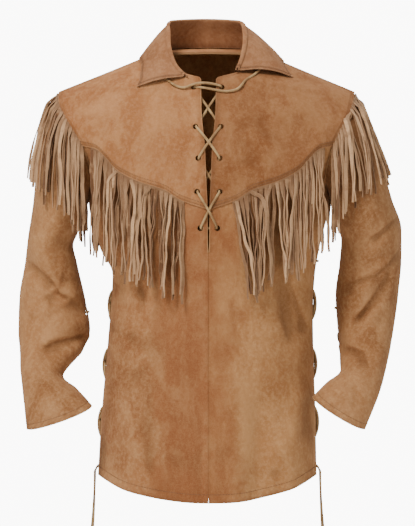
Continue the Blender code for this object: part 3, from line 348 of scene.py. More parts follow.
def smoothPath(points, steps):
    # a smooth curve through the given points
    path = []
    for k in range(len(points) - 1):
        before, start = points[max(k - 1, 0)], points[k]
        end, after = points[k + 1], points[min(k + 2, len(points) - 1)]
        for s in range(steps):
            t = s / steps
            path.append(0.5 * (2 * start + (end - before) * t
                               + (2 * before - 5 * start + 4 * end - after) * t * t
                               + (3 * start - before - 3 * end + after) * t**3))
    return path + [points[-1]]


def addFreeEnd(side, name):
    end = freeEnds[name]
    x, y, z = freeEnds["starts"][side]
    start = Vector((x, y * end["y"], z))
    ox, oy, oz = freeEnds["onward"]
    tip = Vector((sides[side] * end["swingOut"], end["swingY"], -end["length"]))
    knots = [start + Vector((ox * sides[side], oy, oz))]
    for share in freeEnds["knots"]:
        aside = Vector((0, freeEnds["bow"] * math.sin(math.pi * share), 0))
        swing = share ** freeEnds["swingPower"]
        knots.append(knots[0] + Vector((tip.x * swing, tip.y * swing, tip.z * share)) + aside)
    route = [p * mm for p in [start] + smoothPath(knots, freeEnds["steps"])]
    data = bpy.data.curves.new("laceEnd", "CURVE")
    data.dimensions = "3D"
    data.bevel_depth = freeEnds["diameter"] / 2 * mm
    data.bevel_resolution = 3
    data.use_fill_caps = True
    spline = data.splines.new("POLY")
    spline.points.add(len(route) - 1)
    for knot, point in zip(spline.points, route):
        knot.co = (*point, 1)
    cord = addObject("laceEnd_" + name + "_" + side, data)
    data.materials.append(thongFinish)
    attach(cord, "root")
    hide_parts("lace_end_" + name + "_" + side)


for sideName in sides:
    addFreeEnd(sideName, "long")
    addFreeEnd(sideName, "short")
print("the free lace ends hang")


# the cut of the shirt: the same sizes as the solids

cloth = {"wall": 1.6, "layerGap": 0.35, "seamGap": 0.3, "sideOpening": 10.0, "cell": 4.0,
         "sleeveCell": 3.3, "neckHalfWidth": 85, "neckDepth": 76, "bodyTall": 760, "yokeTall": 290,
         "bodyWide": 260, "sleeveLong": 620, "sleeveRound": 400, "topLevel": 11.999, "wobble": 0.8,
         "yokeSewn": 6.0, "collarSewn": 5.0, "sideShuts": (5.0, 5.8), "wobbleWaves": (150, 95, 60, 42, 30)}


bodyLevels = rowsOf(
    ("level", "frontY", "frontZ", "backY", "backZ", "leftX", "rightX", "edgeZ", "frontEdgeY", "backEdgeY",
     "turn"),
    (
        (0, -130, -757, 130, -760, 186, 190, -712, 0, 0, 90),
        (1, -126, -640, 128, -640, 184, 184, -612, 0, 0, 90),
        (2, -120, -525, 118, -525, 181, 175, -510, 0, 0, 90),
        (3, -117, -445, 108, -445, 180, 168, -430, 0, 0, 90),
        (4, -119, -382, 110, -380, 183, 165, -370, 0, 0, 90),
        (5, -122, -345, 115, -340, 191, 187, -322, 0, 0, 90),
        (6, -124, -312, 120, -300, 208, 206, -245, 0, 0, 88),
        (7, -125, -288, 123, -270, 200, 201, -203, -50, 50, 74),
        (8, -125, -258, 125, -240, 212, 215, -149, -76, 74, 60),
        (9, -119, -190, 125, -180, 226, 233, -120, -66, 64, 50),
        (10, -104, -115, 118, -110, 242, 250, -93, -43, 42, 42),
        (11, -76, -36, 104, -50, 248, 257, -70, -21, 22, 34),
        (12, -76, -36, 76, 22, 251, 257, -56, 0, 0, 20),
    ))
levelOf = {"underarm": 6, "yoke": 8, "neck": 11, "backNeck": 11.34, "shoulder": 12}
neckHeights = rowsOf(("quarter", "z"), ((0.0, -36), (0.5, -20), (1.0, 12), (1.5, 20), (2.0, 22)))
slitWidths = rowsOf(("z", "half"), (
    (-800, 0.15), (-336, 0.15), (-318, 1.2), (-250, 2.0), (-206, 4.0), (-155, 6.0), (-86, 12.0), (0, 13.0)))
yokeEdge = rowsOf(("out", "rise"), (
    (0.0, 0.0), (0.21, 0.14), (0.34, 0.30), (0.54, 0.43), (0.66, 0.54),
    (0.74, 0.65), (0.80, 0.79), (0.89, 0.95), (1.0, 1.0)))
foldColumns = ("face", "fromX", "fromZ", "toX", "toZ", "width", "depth")
bodyFolds = rowsOf(foldColumns, (
    ("front", 128, -378, 152, -462, 22, -9),
    ("front", 148, -578, 137, -648, 20, 6),
    ("front", 165, -262, 132, -335, 20, -7),
    ("front", -168, -262, -130, -340, 20, -7),
    ("front", -128, -560, -134, -760, 27, 8),
    ("front", -66, -600, -62, -760, 26, -6),
    ("front", 36, -560, 42, -770, 27, 9),
    ("front", 88, -600, 90, -770, 22, -7),
    ("front", 132, -650, 140, -750, 22, 5),
    ("front", -100, -340, -128, -470, 30, 5),
    ("back", 0, -300, 0, -500, 34, -6),
    ("back", 96, -400, 104, -750, 30, 8),
    ("back", -90, -430, -100, -750, 30, 8),
    ("back", -145, -425, -50, -460, 18, -5),
    ("back", 140, -470, 60, -435, 18, -5),
    ("back", 50, -620, 46, -770, 26, -5),
    ("back", -40, -600, -46, -770, 26, -5),
))
ringColumns = ("place", "outerX", "outerZ", "innerX", "innerZ", "middleY", "depth", "tilt")
sleeveRings = {
    "left": rowsOf(ringColumns, (
        (0.00, 251, -56, 208, -245, 0, 78, 0),
        (0.05, 266, -95, 212, -253, 0, 77, 0),
        (0.15, 291, -165, 217, -272, 2, 74, 0),
        (0.28, 316, -240, 223, -292, 8, 70, 0),
        (0.38, 333, -294, 228, -310, 16, 66, 0),
        (0.47, 333, -345, 225, -352, 24, 62, 0),
        (0.56, 329, -396, 219, -402, 30, 60, 0),
        (0.65, 322, -447, 222, -456, 26, 57, 4),
        (0.73, 314, -490, 226, -497, 4, 52, 8),
        (0.81, 305, -528, 226, -531, -25, 46, 8),
        (0.89, 295, -564, 203, -552, -55, 42, 2),
        (1.00, 267, -631, 177, -577, -88, 39, -8))),
    "right": rowsOf(ringColumns, (
        (0.00, 257, -56, 206, -245, 0, 78, 0),
        (0.05, 279, -98, 210, -255, 0, 77, 0),
        (0.15, 293, -165, 216, -278, 2, 74, 0),
        (0.28, 302, -241, 226, -300, 8, 70, 0),
        (0.38, 312, -308, 233, -320, 16, 66, 0),
        (0.47, 316, -346, 226, -352, 24, 62, 0),
        (0.56, 326, -405, 212, -412, 30, 60, 0),
        (0.66, 328, -464, 204, -464, 26, 57, 4),
        (0.74, 325, -497, 217, -500, 6, 52, 8),
        (0.82, 322, -537, 250, -542, -25, 46, 8),
        (0.89, 318, -569, 226, -562, -52, 42, 2),
        (1.00, 310, -631, 198, -592, -88, 39, -8))),
}
sleeveSeam = rowsOf(("place", "turn", "opening"), (
    (0.00, 180, 0.3), (0.50, 180, 0.3), (0.58, 184, 9.0), (0.66, 196, 9.0),
    (0.78, 240, 9.0), (0.90, 290, 9.0), (1.00, 318, 9.0)))
sleeveFolds = {
    "left": rowsOf(foldColumns, (
        ("front", 302, -378, 255, -444, 16, -11),
        ("front", 234, -494, 268, -505, 15, -11),
        ("front", 324, -273, 271, -313, 20, -8),
        ("front", 240, -382, 331, -322, 17, -8),
        ("back", 310, -300, 250, -350, 20, -6),
        ("back", 256, -430, 320, -400, 18, -8),
        ("back", 268, -498, 308, -478, 15, -8))),
    "right": rowsOf(foldColumns, (
        ("front", 312, -348, 250, -402, 16, -12),
        ("front", 250, -402, 216, -432, 16, -10),
        ("front", 216, -474, 286, -499, 15, -12),
        ("front", 300, -250, 250, -300, 22, -4),
        ("back", 300, -300, 245, -345, 20, -6),
        ("back", 252, -420, 318, -395, 18, -8),
        ("back", 268, -500, 320, -484, 15, -8))),
}
collarColumns = ("station", "quarter", "foldX", "foldY", "foldZ", "leafLevel", "leafOut")
collarStations = {
    "left": rowsOf(collarColumns, (
        (0.00, 0.42, 50, -70, -15, 11.56, 0.40),
        (0.25, 0.62, 60, -54, 12, 11.75, 0.31),
        (0.50, 0.92, 64, -26, 42, 11.92, 0.25),
        (0.75, 1.42, 56, 24, 69, 12.40, 0.24),
        (1.00, 2.00, -6, 60, 74, 12.74, 0.0))),
    "right": rowsOf(collarColumns, (
        (0.00, 0.32, 40, -79, -26, 11.02, 0.42),
        (0.25, 0.52, 59, -65, -5, 11.46, 0.27),
        (0.50, 0.85, 70, -34, 38, 11.85, 0.18),
        (0.75, 1.40, 68, 22, 69, 12.40, 0.20),
        (1.00, 2.00, 6, 60, 74, 12.74, 0.0))),
}
collarCut = {"roll": 4.6, "offYoke": 1.6, "seamIn": 3.1, "seamUp": 2.0, "halfStations": 7,
             "bulge": 0.16, "rollShare": 0.3, "rollLeast": 1.5, "standOut": 0.04, "leafUp": 0.4}


# how square a body section is, and how its rows rise to the side
bodyForm = {"square": 0.86, "squareMore": 0.14, "rise": 2.3, "yokeRise": 0.8}
# along the sleeve, where its folds begin and where it leaves the armhole's line
sleeveForm = {"folds": (0.1, 0.25), "firstRow": 0.015, "leave": (-0.02, 0.16)}


def track(rows, along, name):
    # a smooth curve through one column of a table, which never overshoots its values
    x = np.array([row[along] for row in rows], float)
    y = np.array([row[name] for row in rows], float)
    rise = np.diff(y) / np.diff(x)
    before, after = rise[:-1], rise[1:]
    level = before * after <= 0
    inner = np.where(level, 0.0, 2 * before * after / np.where(level, 1.0, before + after))
    slope = np.concatenate(([rise[0]], inner, [rise[-1]]))

    def at(place):
        place = np.clip(place, x[0], x[-1])
        i = np.clip(np.searchsorted(x, place, side="right") - 1, 0, len(x) - 2)
        step = x[i + 1] - x[i]
        t = (place - x[i]) / step
        return ((2 * t**3 - 3 * t**2 + 1) * y[i] + (t**3 - 2 * t**2 + t) * slope[i] * step
                + (3 * t**2 - 2 * t**3) * y[i + 1] + (t**3 - t**2) * slope[i + 1] * step)
    return at


def smoothStep(value, low, high):
    t = np.clip((np.asarray(value, float) - low) / (high - low), 0, 1)
    return t * t * (3 - 2 * t)


def bell(off, width):
    return np.exp(-(off / width) ** 2)


def stack(x, y, z):
    return np.stack(np.broadcast_arrays(x, y, z), axis=-1).astype(float)


bodyTrack = {name: track(bodyLevels, "level", name) for name in bodyLevels[0] if name != "level"}
backRows = [dict(row) for row in bodyLevels]
backRows[-1]["level"] = levelOf["backNeck"]
backY, backZ = track(backRows, "level", "backY"), track(backRows, "level", "backZ")
neckTrack = track(neckHeights, "quarter", "z")
slitTrack = track(slitWidths, "z", "half")
yokeTrack = track(yokeEdge, "out", "rise")
seamTurn, seamOpening = track(sleeveSeam, "place", "turn"), track(sleeveSeam, "place", "opening")
ringTrack = {side: {name: track(rings, "place", name) for name in ringColumns[1:]}
             for side, rings in sleeveRings.items()}


def foldDepth(folds, face, x, z):
    total = np.zeros(np.shape(x))
    for fold in folds:
        if fold["face"] == face:
            runX, runZ = fold["toX"] - fold["fromX"], fold["toZ"] - fold["fromZ"]
            along = ((x - fold["fromX"]) * runX + (z - fold["fromZ"]) * runZ) / (runX**2 + runZ**2)
            along = np.clip(along, 0, 1)
            offX, offZ = x - fold["fromX"] - along * runX, z - fold["fromZ"] - along * runZ
            total += fold["depth"] * np.exp(-(offX**2 + offZ**2) / fold["width"] ** 2)
    return total


def neckPoint(side, quarter):
    angle = np.asarray(quarter) * math.pi / 2
    return stack(sides[side] * cloth["neckHalfWidth"] * np.sin(angle),
                 -cloth["neckDepth"] * np.cos(angle), neckTrack(quarter))


def middlePoint(side, face, level):
    level = np.asarray(level, float)
    if face == "front":
        slit = slitTrack(bodyTrack["frontZ"](level))
        plain = stack(sides[side] * slit, bodyTrack["frontY"](level), bodyTrack["frontZ"](level))
        start = np.arcsin(slit / cloth["neckHalfWidth"]) / (math.pi / 2)
        neck = neckPoint(side, start + (1 - start) * np.clip(level - levelOf["neck"], 0, 1))
        return np.where((level > levelOf["neck"])[..., None], neck, plain)
    plain = stack(0.0, backY(level), backZ(level))
    rest = (level - levelOf["backNeck"]) / (levelOf["shoulder"] - levelOf["backNeck"])
    return np.where((rest > 0)[..., None], neckPoint(side, 2 - np.clip(rest, 0, 1)), plain)


def edgePoint(side, face, level):
    return stack(sides[side] * bodyTrack[side + "X"](level), bodyTrack[face + "EdgeY"](level),
                 bodyTrack["edgeZ"](level))


def bodyPoint(side, face, out, level):
    # out is 0 at the centre and 1 at the side seam or armhole
    out, level = np.broadcast_arrays(np.asarray(out, float), np.asarray(level, float))
    middle, edge = middlePoint(side, face, level), edgePoint(side, face, level)
    turn = np.radians(bodyTrack["turn"](level))
    angle = out * turn
    more = smoothStep(level, levelOf["underarm"] - 0.5, levelOf["underarm"] + 1)
    square = bodyForm["square"] + bodyForm["squareMore"] * more
    across = (np.sin(angle) / np.sin(turn)) ** square
    forward = np.clip((np.cos(angle) - np.cos(turn)) / (1 - np.cos(turn)), 0, None) ** square
    toYoke = smoothStep(level, levelOf["underarm"], levelOf["yoke"])
    offYoke = smoothStep(level, levelOf["yoke"], levelOf["shoulder"] - 1)
    lowRise = across ** (bodyForm["rise"] - bodyForm["yokeRise"] * toYoke)
    rise = lowRise + (yokeTrack(across) - lowRise) * toYoke
    rise = rise + (across - rise) * offYoke
    point = stack(middle[..., 0] + (edge[..., 0] - middle[..., 0]) * across,
                  edge[..., 1] + (middle[..., 1] - edge[..., 1]) * forward,
                  middle[..., 2] + (edge[..., 2] - middle[..., 2]) * rise)
    push = foldDepth(bodyFolds, face, point[..., 0], point[..., 2])
    forwards = -np.cos(angle) if face == "front" else np.cos(angle)
    return point + stack(sides[side] * np.sin(angle), forwards, 0.0) * push[..., None]


def armholeLevels(side, face):
    # levels at even steps along the armhole, from the shoulder to the underarm
    levels = np.linspace(levelOf["shoulder"], levelOf["underarm"], 241)
    points = edgePoint(side, face, levels)
    run = np.concatenate(([0.0], np.cumsum(np.linalg.norm(np.diff(points, axis=0), axis=1))))
    return run / run[-1], levels


armhole = {(side, face): armholeLevels(side, face) for side in sides for face in ("front", "back")}


def sleevePoint(side, turn, place):
    # turn 0 is the outer side, 90 the front, 180 under the arm and 270 the back
    turn, place = np.broadcast_arrays(np.asarray(turn, float) % 360, np.asarray(place, float))
    rings = {name: ringTrack[side][name](place) for name in ringColumns[1:]}
    angle = np.radians(turn)
    halfX, halfZ = (rings["outerX"] - rings["innerX"]) / 2, (rings["outerZ"] - rings["innerZ"]) / 2
    x = (rings["outerX"] + rings["innerX"]) / 2 + halfX * np.cos(angle)
    z = (rings["outerZ"] + rings["innerZ"]) / 2 + halfZ * np.cos(angle) + rings["tilt"] * np.sin(angle)
    y = rings["middleY"] - rings["depth"] * np.sin(angle)
    front = turn <= 180
    push = np.where(front, foldDepth(sleeveFolds[side], "front", x, z),
                    foldDepth(sleeveFolds[side], "back", x, z))
    push = push * np.sqrt(np.abs(np.sin(angle))) * smoothStep(place, *sleeveForm["folds"])
    ring = stack(sides[side] * (x + np.cos(angle) * push), y - np.sin(angle) * push, z)
    share = np.where(front, turn / 180, (360 - turn) / 180)
    seam = [edgePoint(side, face, np.interp(share, *armhole[side, face])) for face in ("front", "back")]
    seam = np.where(front[..., None], seam[0], seam[1])
    firstRow = sleeveForm["firstRow"]
    weight = smoothStep(np.maximum(place, firstRow), *sleeveForm["leave"]) * np.clip(place / firstRow, 0, 1)
    return seam + (ring - seam) * weight[..., None]


# creases that are finer than the solids' folds

creaseColumns = ("face", "kind", "width", "depth", "line")
bodyCreases = rowsOf(creaseColumns, (
    ("front", "step", 8, 2.6, ((134, -372), (146, -405), (160, -440), (174, -474))),
    ("front", "ridge", 11, 2.0, ((160, -560), (150, -600), (139, -650))),
    ("front", "trough", 9, 1.6, ((120, -400), (132, -440), (140, -492))),
    ("front", "ridge", 13, 1.8, ((-158, -345), (-146, -385), (-142, -430))),
    ("front", "trough", 10, 1.4, ((-128, -356), (-116, -398), (-112, -440))),
    ("front", "ridge", 8, 1.2, ((-88, -372), (-97, -410), (-112, -452))),
    ("front", "trough", 9, 1.5, ((-182, -452), (-150, -470), (-118, -476))),
    ("front", "ridge", 10, 1.3, ((-176, -500), (-140, -512), (-96, -508))),
    ("front", "trough", 14, 1.6, ((-100, -560), (-106, -640), (-98, -730))),
    ("front", "ridge", 16, 1.5, ((66, -520), (70, -600), (64, -735))),
    ("front", "trough", 10, 1.0, ((30, -400), (52, -440), (60, -500))),
    ("front", "ridge", 9, 1.1, ((-60, -300), (-40, -352), (-36, -410))),
    ("front", "trough", 12, 1.5, ((112, -690), (118, -728), (116, -756))),
    ("front", "ridge", 12, 1.2, ((60, -120), (92, -150), (110, -196))),
    ("front", "trough", 10, 1.0, ((150, -92), (172, -126), (178, -150))),
    ("front", "ridge", 12, 1.2, ((-70, -96), (-104, -130), (-120, -186))),
    ("front", "trough", 10, 1.0, ((-160, -96), (-178, -128), (-186, -150))),
    ("back", "trough", 14, 2.0, ((-30, -330), (-10, -420), (-26, -520))),
    ("back", "ridge", 13, 1.8, ((36, -350), (52, -430), (44, -540))),
    ("back", "step", 9, 2.2, ((-160, -404), (-112, -438), (-64, -446))),
    ("back", "step", 9, 2.0, ((158, -420), (118, -452), (66, -462))),
    ("back", "trough", 12, 1.6, ((120, -540), (110, -620), (118, -735))),
    ("back", "ridge", 12, 1.5, ((-70, -560), (-66, -650), (-74, -745))),
    ("back", "trough", 12, 1.4, ((-140, -560), (-132, -650), (-140, -740))),
    ("back", "ridge", 11, 1.2, ((-60, -110), (-96, -140), (-108, -190))),
    ("back", "ridge", 11, 1.2, ((66, -104), (98, -140), (112, -186))),
))
sleeveCreases = {
    "right": rowsOf(creaseColumns, (
        ("front", "step", 8, 5.0, ((330, -338), (300, -352), (273, -377), (250, -402), (209, -433))),
        ("front", "step", 9, 5.5, ((198, -466), (238, -480), (269, -487), (292, -502))),
        ("front", "trough", 10, 2.2, ((250, -300), (262, -330), (258, -362))),
        ("front", "ridge", 9, 1.8, ((286, -250), (276, -290), (282, -326))),
        ("front", "ridge", 13, 8.5, ((270, -385), (250, -402), (232, -418))),
        ("front", "trough", 9, 2.2, ((320, -440), (290, -446), (262, -440))),
        ("front", "ridge", 9, 2.4, ((216, -520), (246, -524), (262, -540))),
        ("front", "trough", 8, 2.0, ((318, -520), (296, -536), (284, -560))),
        ("front", "ridge", 9, 1.6, ((244, -560), (262, -584), (270, -612))),
        ("back", "step", 10, 3.5, ((326, -372), (290, -392), (246, -400))),
        ("back", "step", 10, 4.0, ((330, -440), (290, -456), (240, -452))),
        ("back", "trough", 10, 2.4, ((306, -270), (280, -310), (256, -332))),
        ("back", "ridge", 10, 2.0, ((310, -500), (280, -516), (262, -540))),
    )),
    "left": rowsOf(creaseColumns, (
        ("front", "step", 8, 4.0, ((336, -262), (308, -284), (271, -313))),
        ("front", "step", 9, 4.5, ((340, -312), (310, -350), (286, -370), (237, -384))),
        ("front", "step", 9, 5.5, ((314, -352), (302, -378), (283, -409), (255, -444), (243, -462))),
        ("front", "step", 8, 5.5, ((220, -492), (249, -497), (266, -505), (272, -530))),
        ("front", "trough", 10, 2.0, ((300, -430), (290, -462), (272, -480))),
        ("front", "ridge", 10, 2.0, ((312, -480), (296, -510), (288, -540))),
        ("front", "trough", 9, 1.8, ((238, -546), (250, -572), (246, -600))),
        ("front", "ridge", 9, 1.6, ((266, -230), (256, -262), (246, -300))),
        ("back", "step", 10, 3.5, ((334, -330), (296, -356), (248, -362))),
        ("back", "step", 10, 4.0, ((326, -432), (284, -446), (240, -440))),
        ("back", "trough", 10, 2.4, ((320, -270), (290, -300), (262, -318))),
        ("back", "ridge", 10, 2.0, ((304, -500), (276, -512), (250, -530))),
    )),
}


# widths in shares of a crease's width, and how uneven it is along its line; the width of the painted shade
# line along a step, and the step depth that makes it full, are in mm
creaseForm = {"uneven": 0.25, "above": 2.0, "below": 1.3, "sharp": 0.45, "shoulder": 0.3, "shoulderAt": 2.0,
              "fade": 0.22, "least": 0.8, "more": 0.2, "pinch": 3.4, "fullCreaseShade": 4}


def creaseDepth(creases, face, x, z):
    # a step has a ridge above its line and a trough below it; the second result is a painted shade line
    # along the step's sharp line, which only colours
    form = creaseForm
    total, pinch = np.zeros(np.shape(x)), np.zeros(np.shape(x))
    for number, crease in enumerate(creases):
        if crease["face"] != face:
            continue
        line = np.array(crease["line"], float)
        parts = np.linalg.norm(np.diff(line, axis=0), axis=1)
        best, side, along = np.full(x.shape, 1e9), np.zeros(x.shape), np.zeros(x.shape)
        for k in range(len(line) - 1):
            run = line[k + 1] - line[k]
            t = np.clip(((x - line[k, 0]) * run[0] + (z - line[k, 1]) * run[1]) / (run @ run), 0, 1)
            offX, offZ = x - line[k, 0] - t * run[0], z - line[k, 1] - t * run[1]
            far = np.hypot(offX, offZ)
            nearer = far < best
            sign = np.where(run[0] * offZ - run[1] * offX > 0, 1.0, -1.0) * np.sign(run[0] or 1)
            best, side = np.where(nearer, far, best), np.where(nearer, sign, side)
            along = np.where(nearer, (parts[:k].sum() + t * parts[k]) / parts.sum(), along)
        uneven = 1 + form["uneven"] * np.sin(along * 9 + number * 2.1)
        off = best / (crease["width"] * uneven)
        if crease["kind"] == "step":
            fall = np.where(side > 0, bell(off, form["above"]), bell(off, form["below"]))
            shape = side * fall * (1 - bell(off, form["sharp"]))
        else:
            shape = np.exp(-off**2) - form["shoulder"] * np.exp(-(off - form["shoulderAt"]) ** 2)
            shape = shape if crease["kind"] == "ridge" else -shape
        taper = smoothStep(along, 0.0, form["fade"]) * smoothStep(1 - along, 0.0, form["fade"])
        depth = form["least"] + form["more"] * np.cos(along * 7 + number)
        total += crease["depth"] * shape * taper * depth
        # painted shade: a dark line along each step
        if crease["kind"] == "step":
            pinch += bell(best, form["pinch"]) * taper * min(1.0, crease["depth"] / form["fullCreaseShade"])
    return total, pinch


def wobble(points, size, seed):
    # a soft unevenness of the hide, from waves of several lengths
    rng = np.random.default_rng(seed)
    total = np.zeros(points.shape[:-1])
    for length in cloth["wobbleWaves"]:
        for _ in range(3):
            way = rng.normal(size=3)
            way = way / np.linalg.norm(way) * 2 * math.pi / length
            total += np.sin(points @ way + rng.uniform(0, fullTurn)) * length / cloth["wobbleWaves"][0]
    return total * size / 3


def normalsOf(grid, outward):
    across, up = np.gradient(grid, axis=1), np.gradient(grid, axis=0)
    normals = np.cross(across, up)
    normals /= np.linalg.norm(normals, axis=-1, keepdims=True) + 1e-12
    return normals * (1.0 if np.sum(normals * outward) > 0 else -1.0)


def runAlong(grid, axis):
    # distance along the rows or columns of a grid of points, from its start
    steps = np.linalg.norm(np.diff(grid, axis=axis), axis=-1)
    first = np.zeros_like(np.take(steps, [0], axis=axis))
    return np.concatenate((first, np.cumsum(steps, axis=axis)), axis=axis)


# body, yoke and sleeve surfaces: grids of points with normals, in mm

# where the painted shade under the fringe lies: shares of the way out, and distances below the edge the
# fringe hangs from
fringeShadeArea = {"front": (0.16, 0.88), "back": (-0.05, 0.86), "fadeIn": 0.03, "fadeOut": 0.06, "top": (-6, 2),
               "end": (90, 158), "armEnd": (80, 130), "armHeight": (-165, -140)}
# the creases fade out towards the seams, the slit and the laces
calmAt = {"side": (0.86, 0.95), "shoulder": (10.7, 11.3), "slitEnd": (-370, -300), "seam": (2, 16),
          "slit": (32, 60), "armhole": (0.02, 0.12), "laced": (0.5, 0.58), "laces": (0.05, 0.11)}
# the centre seam below the slit lies in a slight trough between two faint ridges, with painted light on the
# ridges and a painted shade line down the seam
centreSeam = {"top": (332, 350), "ridgeAt": 5, "ridgeWidth": 2.6, "ridge": 0.7, "ridgeLight": 0.3,
              "width": 2.0, "depth": 0.3, "lineShadeWidth": 1.6, "lineShade": 0.5}
# the crease or fold depth that counts as a full ridge of painted light or a full trough of painted shade
foldShading = {"crease": 2.0, "fold": 40, "sleeveCrease": 4.5, "sleeveFold": 34, "sleeveCreaseShade": 1.1}


def bodySurface(side, face, lowLevel, highLevel, lift):
    # rows go up from the hem or the yoke's edge, columns go out from the centre
    tall = cloth["bodyTall"] if lowLevel == 0 else cloth["yokeTall"]
    rows, columns = round(tall / cloth["cell"]), round(cloth["bodyWide"] / cloth["cell"])
    level = np.linspace(lowLevel, highLevel, 4 * rows)
    heights = runAlong(bodyPoint(side, face, np.full(level.shape, 0.5), level)[:, None], 0)[:, 0]
    level = np.interp(np.linspace(0, heights[-1], rows + 1), heights, level)
    trial = bodyPoint(side, face, np.linspace(0, 1, 60)[None], level[:, None])
    wide = runAlong(trial, 1)[:, -1]
    laced = 1 - smoothStep(level, *cloth["sideShuts"])
    gap = cloth["seamGap"] + (cloth["sideOpening"] - cloth["seamGap"]) * laced
    last = 1 - gap / 2 / wide
    out = np.linspace(0, 1, columns + 1)[None] * last[:, None]
    grid = bodyPoint(side, face, out, level[:, None])
    # this only tells which side of the cloth is the outer one
    outward = grid * np.array([0.3, 1.0, 0.0]) + np.array([0, 0, 40.0])
    normals = normalsOf(grid, outward)
    x, z = grid[..., 0], grid[..., 2]
    crease, pinch = creaseDepth(bodyCreases, face, x, z)
    crease = crease + wobble(grid, cloth["wobble"], 5 if face == "front" else 6)
    calm = 1 - smoothStep(out, *calmAt["side"])
    calm = calm * (1 - smoothStep(level, *calmAt["shoulder"]))[:, None]
    if face == "front":
        slit, high = np.abs(x), smoothStep(z, *calmAt["slitEnd"])
        calm = calm * (smoothStep(slit, *calmAt["seam"]) * (1 - high)
                       + smoothStep(slit, *calmAt["slit"]) * high)
    crease = crease * calm
    base = foldDepth(bodyFolds, face, x, z)
    # painted light and shade: the fold tone is paler on ridges, darker in troughs and darker along each
    # step's line
    fold = crease / foldShading["crease"] + base / foldShading["fold"] - pinch * calm
    sewnUp = smoothStep(-z, *centreSeam["top"]) if face == "front" else np.zeros(z.shape)
    ridges = bell(np.abs(x) - centreSeam["ridgeAt"], centreSeam["ridgeWidth"])
    trough = centreSeam["depth"] * bell(x, centreSeam["width"])
    # painted shade line down the seam, and painted light on its ridges
    line = centreSeam["lineShade"] * bell(x, centreSeam["lineShadeWidth"])
    crease = crease + (centreSeam["ridge"] * ridges - trough) * sewnUp
    fold = fold + (centreSeam["ridgeLight"] * ridges - line) * sewnUp
    # how far each place lies below the yoke's edge sets how much painted shade it gets under the fringe
    run = runAlong(grid, 0)
    below = run[min(np.searchsorted(level, levelOf["yoke"]), len(level) - 1)] - run
    first, last = fringeShadeArea[face]
    under = smoothStep(below, *fringeShadeArea["top"]) * (1 - smoothStep(below, *fringeShadeArea["end"]))
    under = under * smoothStep(out, first, first + fringeShadeArea["fadeIn"])
    under = under * (1 - smoothStep(out, last, last + fringeShadeArea["fadeOut"]))
    return {"points": grid + normals * (crease + lift)[..., None], "normals": normals, "under": under,
            "fold": np.clip(fold, -1, 1), "sewnUp": sewnUp, "out": out, "level": level,
            "joined": face == "back"}


def sleeveSurface(side):
    # rows go down from the armhole, columns go round from the laced seam
    rows = round(cloth["sleeveLong"] / cloth["sleeveCell"])
    columns = round(cloth["sleeveRound"] / cloth["sleeveCell"])
    place = np.linspace(0, 1, rows + 1)
    place = np.concatenate((np.linspace(0, place[3], 7)[:-1], place[3:]))
    trial = sleevePoint(side, np.linspace(0, 360, 73)[None], place[:, None])
    around = runAlong(trial, 1)[:, -1]
    half = seamOpening(place) / 2 / around * 360
    share = np.linspace(0, 1, columns + 1)[None]
    turn = seamTurn(place)[:, None] + half[:, None] + (360 - 2 * half[:, None]) * share
    grid = sleevePoint(side, turn, place[:, None])
    normals = normalsOf(grid, grid - trial.mean(axis=1, keepdims=True))
    x, z = grid[..., 0] * sides[side], grid[..., 2]
    front = (turn % 360) <= 180
    faced = np.sqrt(np.abs(np.sin(np.radians(turn))))
    depths = [creaseDepth(sleeveCreases[side], face, x, z) for face in ("front", "back")]
    crease, pinch = (np.where(front, a, b) * faced for a, b in zip(*depths))
    crease = crease + wobble(grid, cloth["wobble"], 11 + sides[side])
    edge = np.minimum(share, 1 - share) * np.ones_like(turn)
    laced = smoothStep(place, *calmAt["laced"])[:, None]
    calm = 1 - laced * (1 - smoothStep(edge, *calmAt["laces"]))
    calm = calm * smoothStep(place, *calmAt["armhole"])[:, None]
    crease = crease * calm
    base = np.where(front, foldDepth(sleeveFolds[side], "front", x, z),
                    foldDepth(sleeveFolds[side], "back", x, z)) * faced
    # painted light and shade on the sleeve, as on the body
    fold = crease / foldShading["sleeveCrease"] + base / foldShading["sleeveFold"]
    fold = fold - foldShading["sleeveCreaseShade"] * pinch * calm
    # painted shade under the fringe, near the sleeve's head
    under = 1 - smoothStep(runAlong(grid, 0), *fringeShadeArea["armEnd"])
    under = under * smoothStep(grid[0, :, 2], *fringeShadeArea["armHeight"])
    return {"points": grid + normals * crease[..., None], "normals": normals, "under": under,
            "fold": np.clip(fold, -1, 1), "place": place}


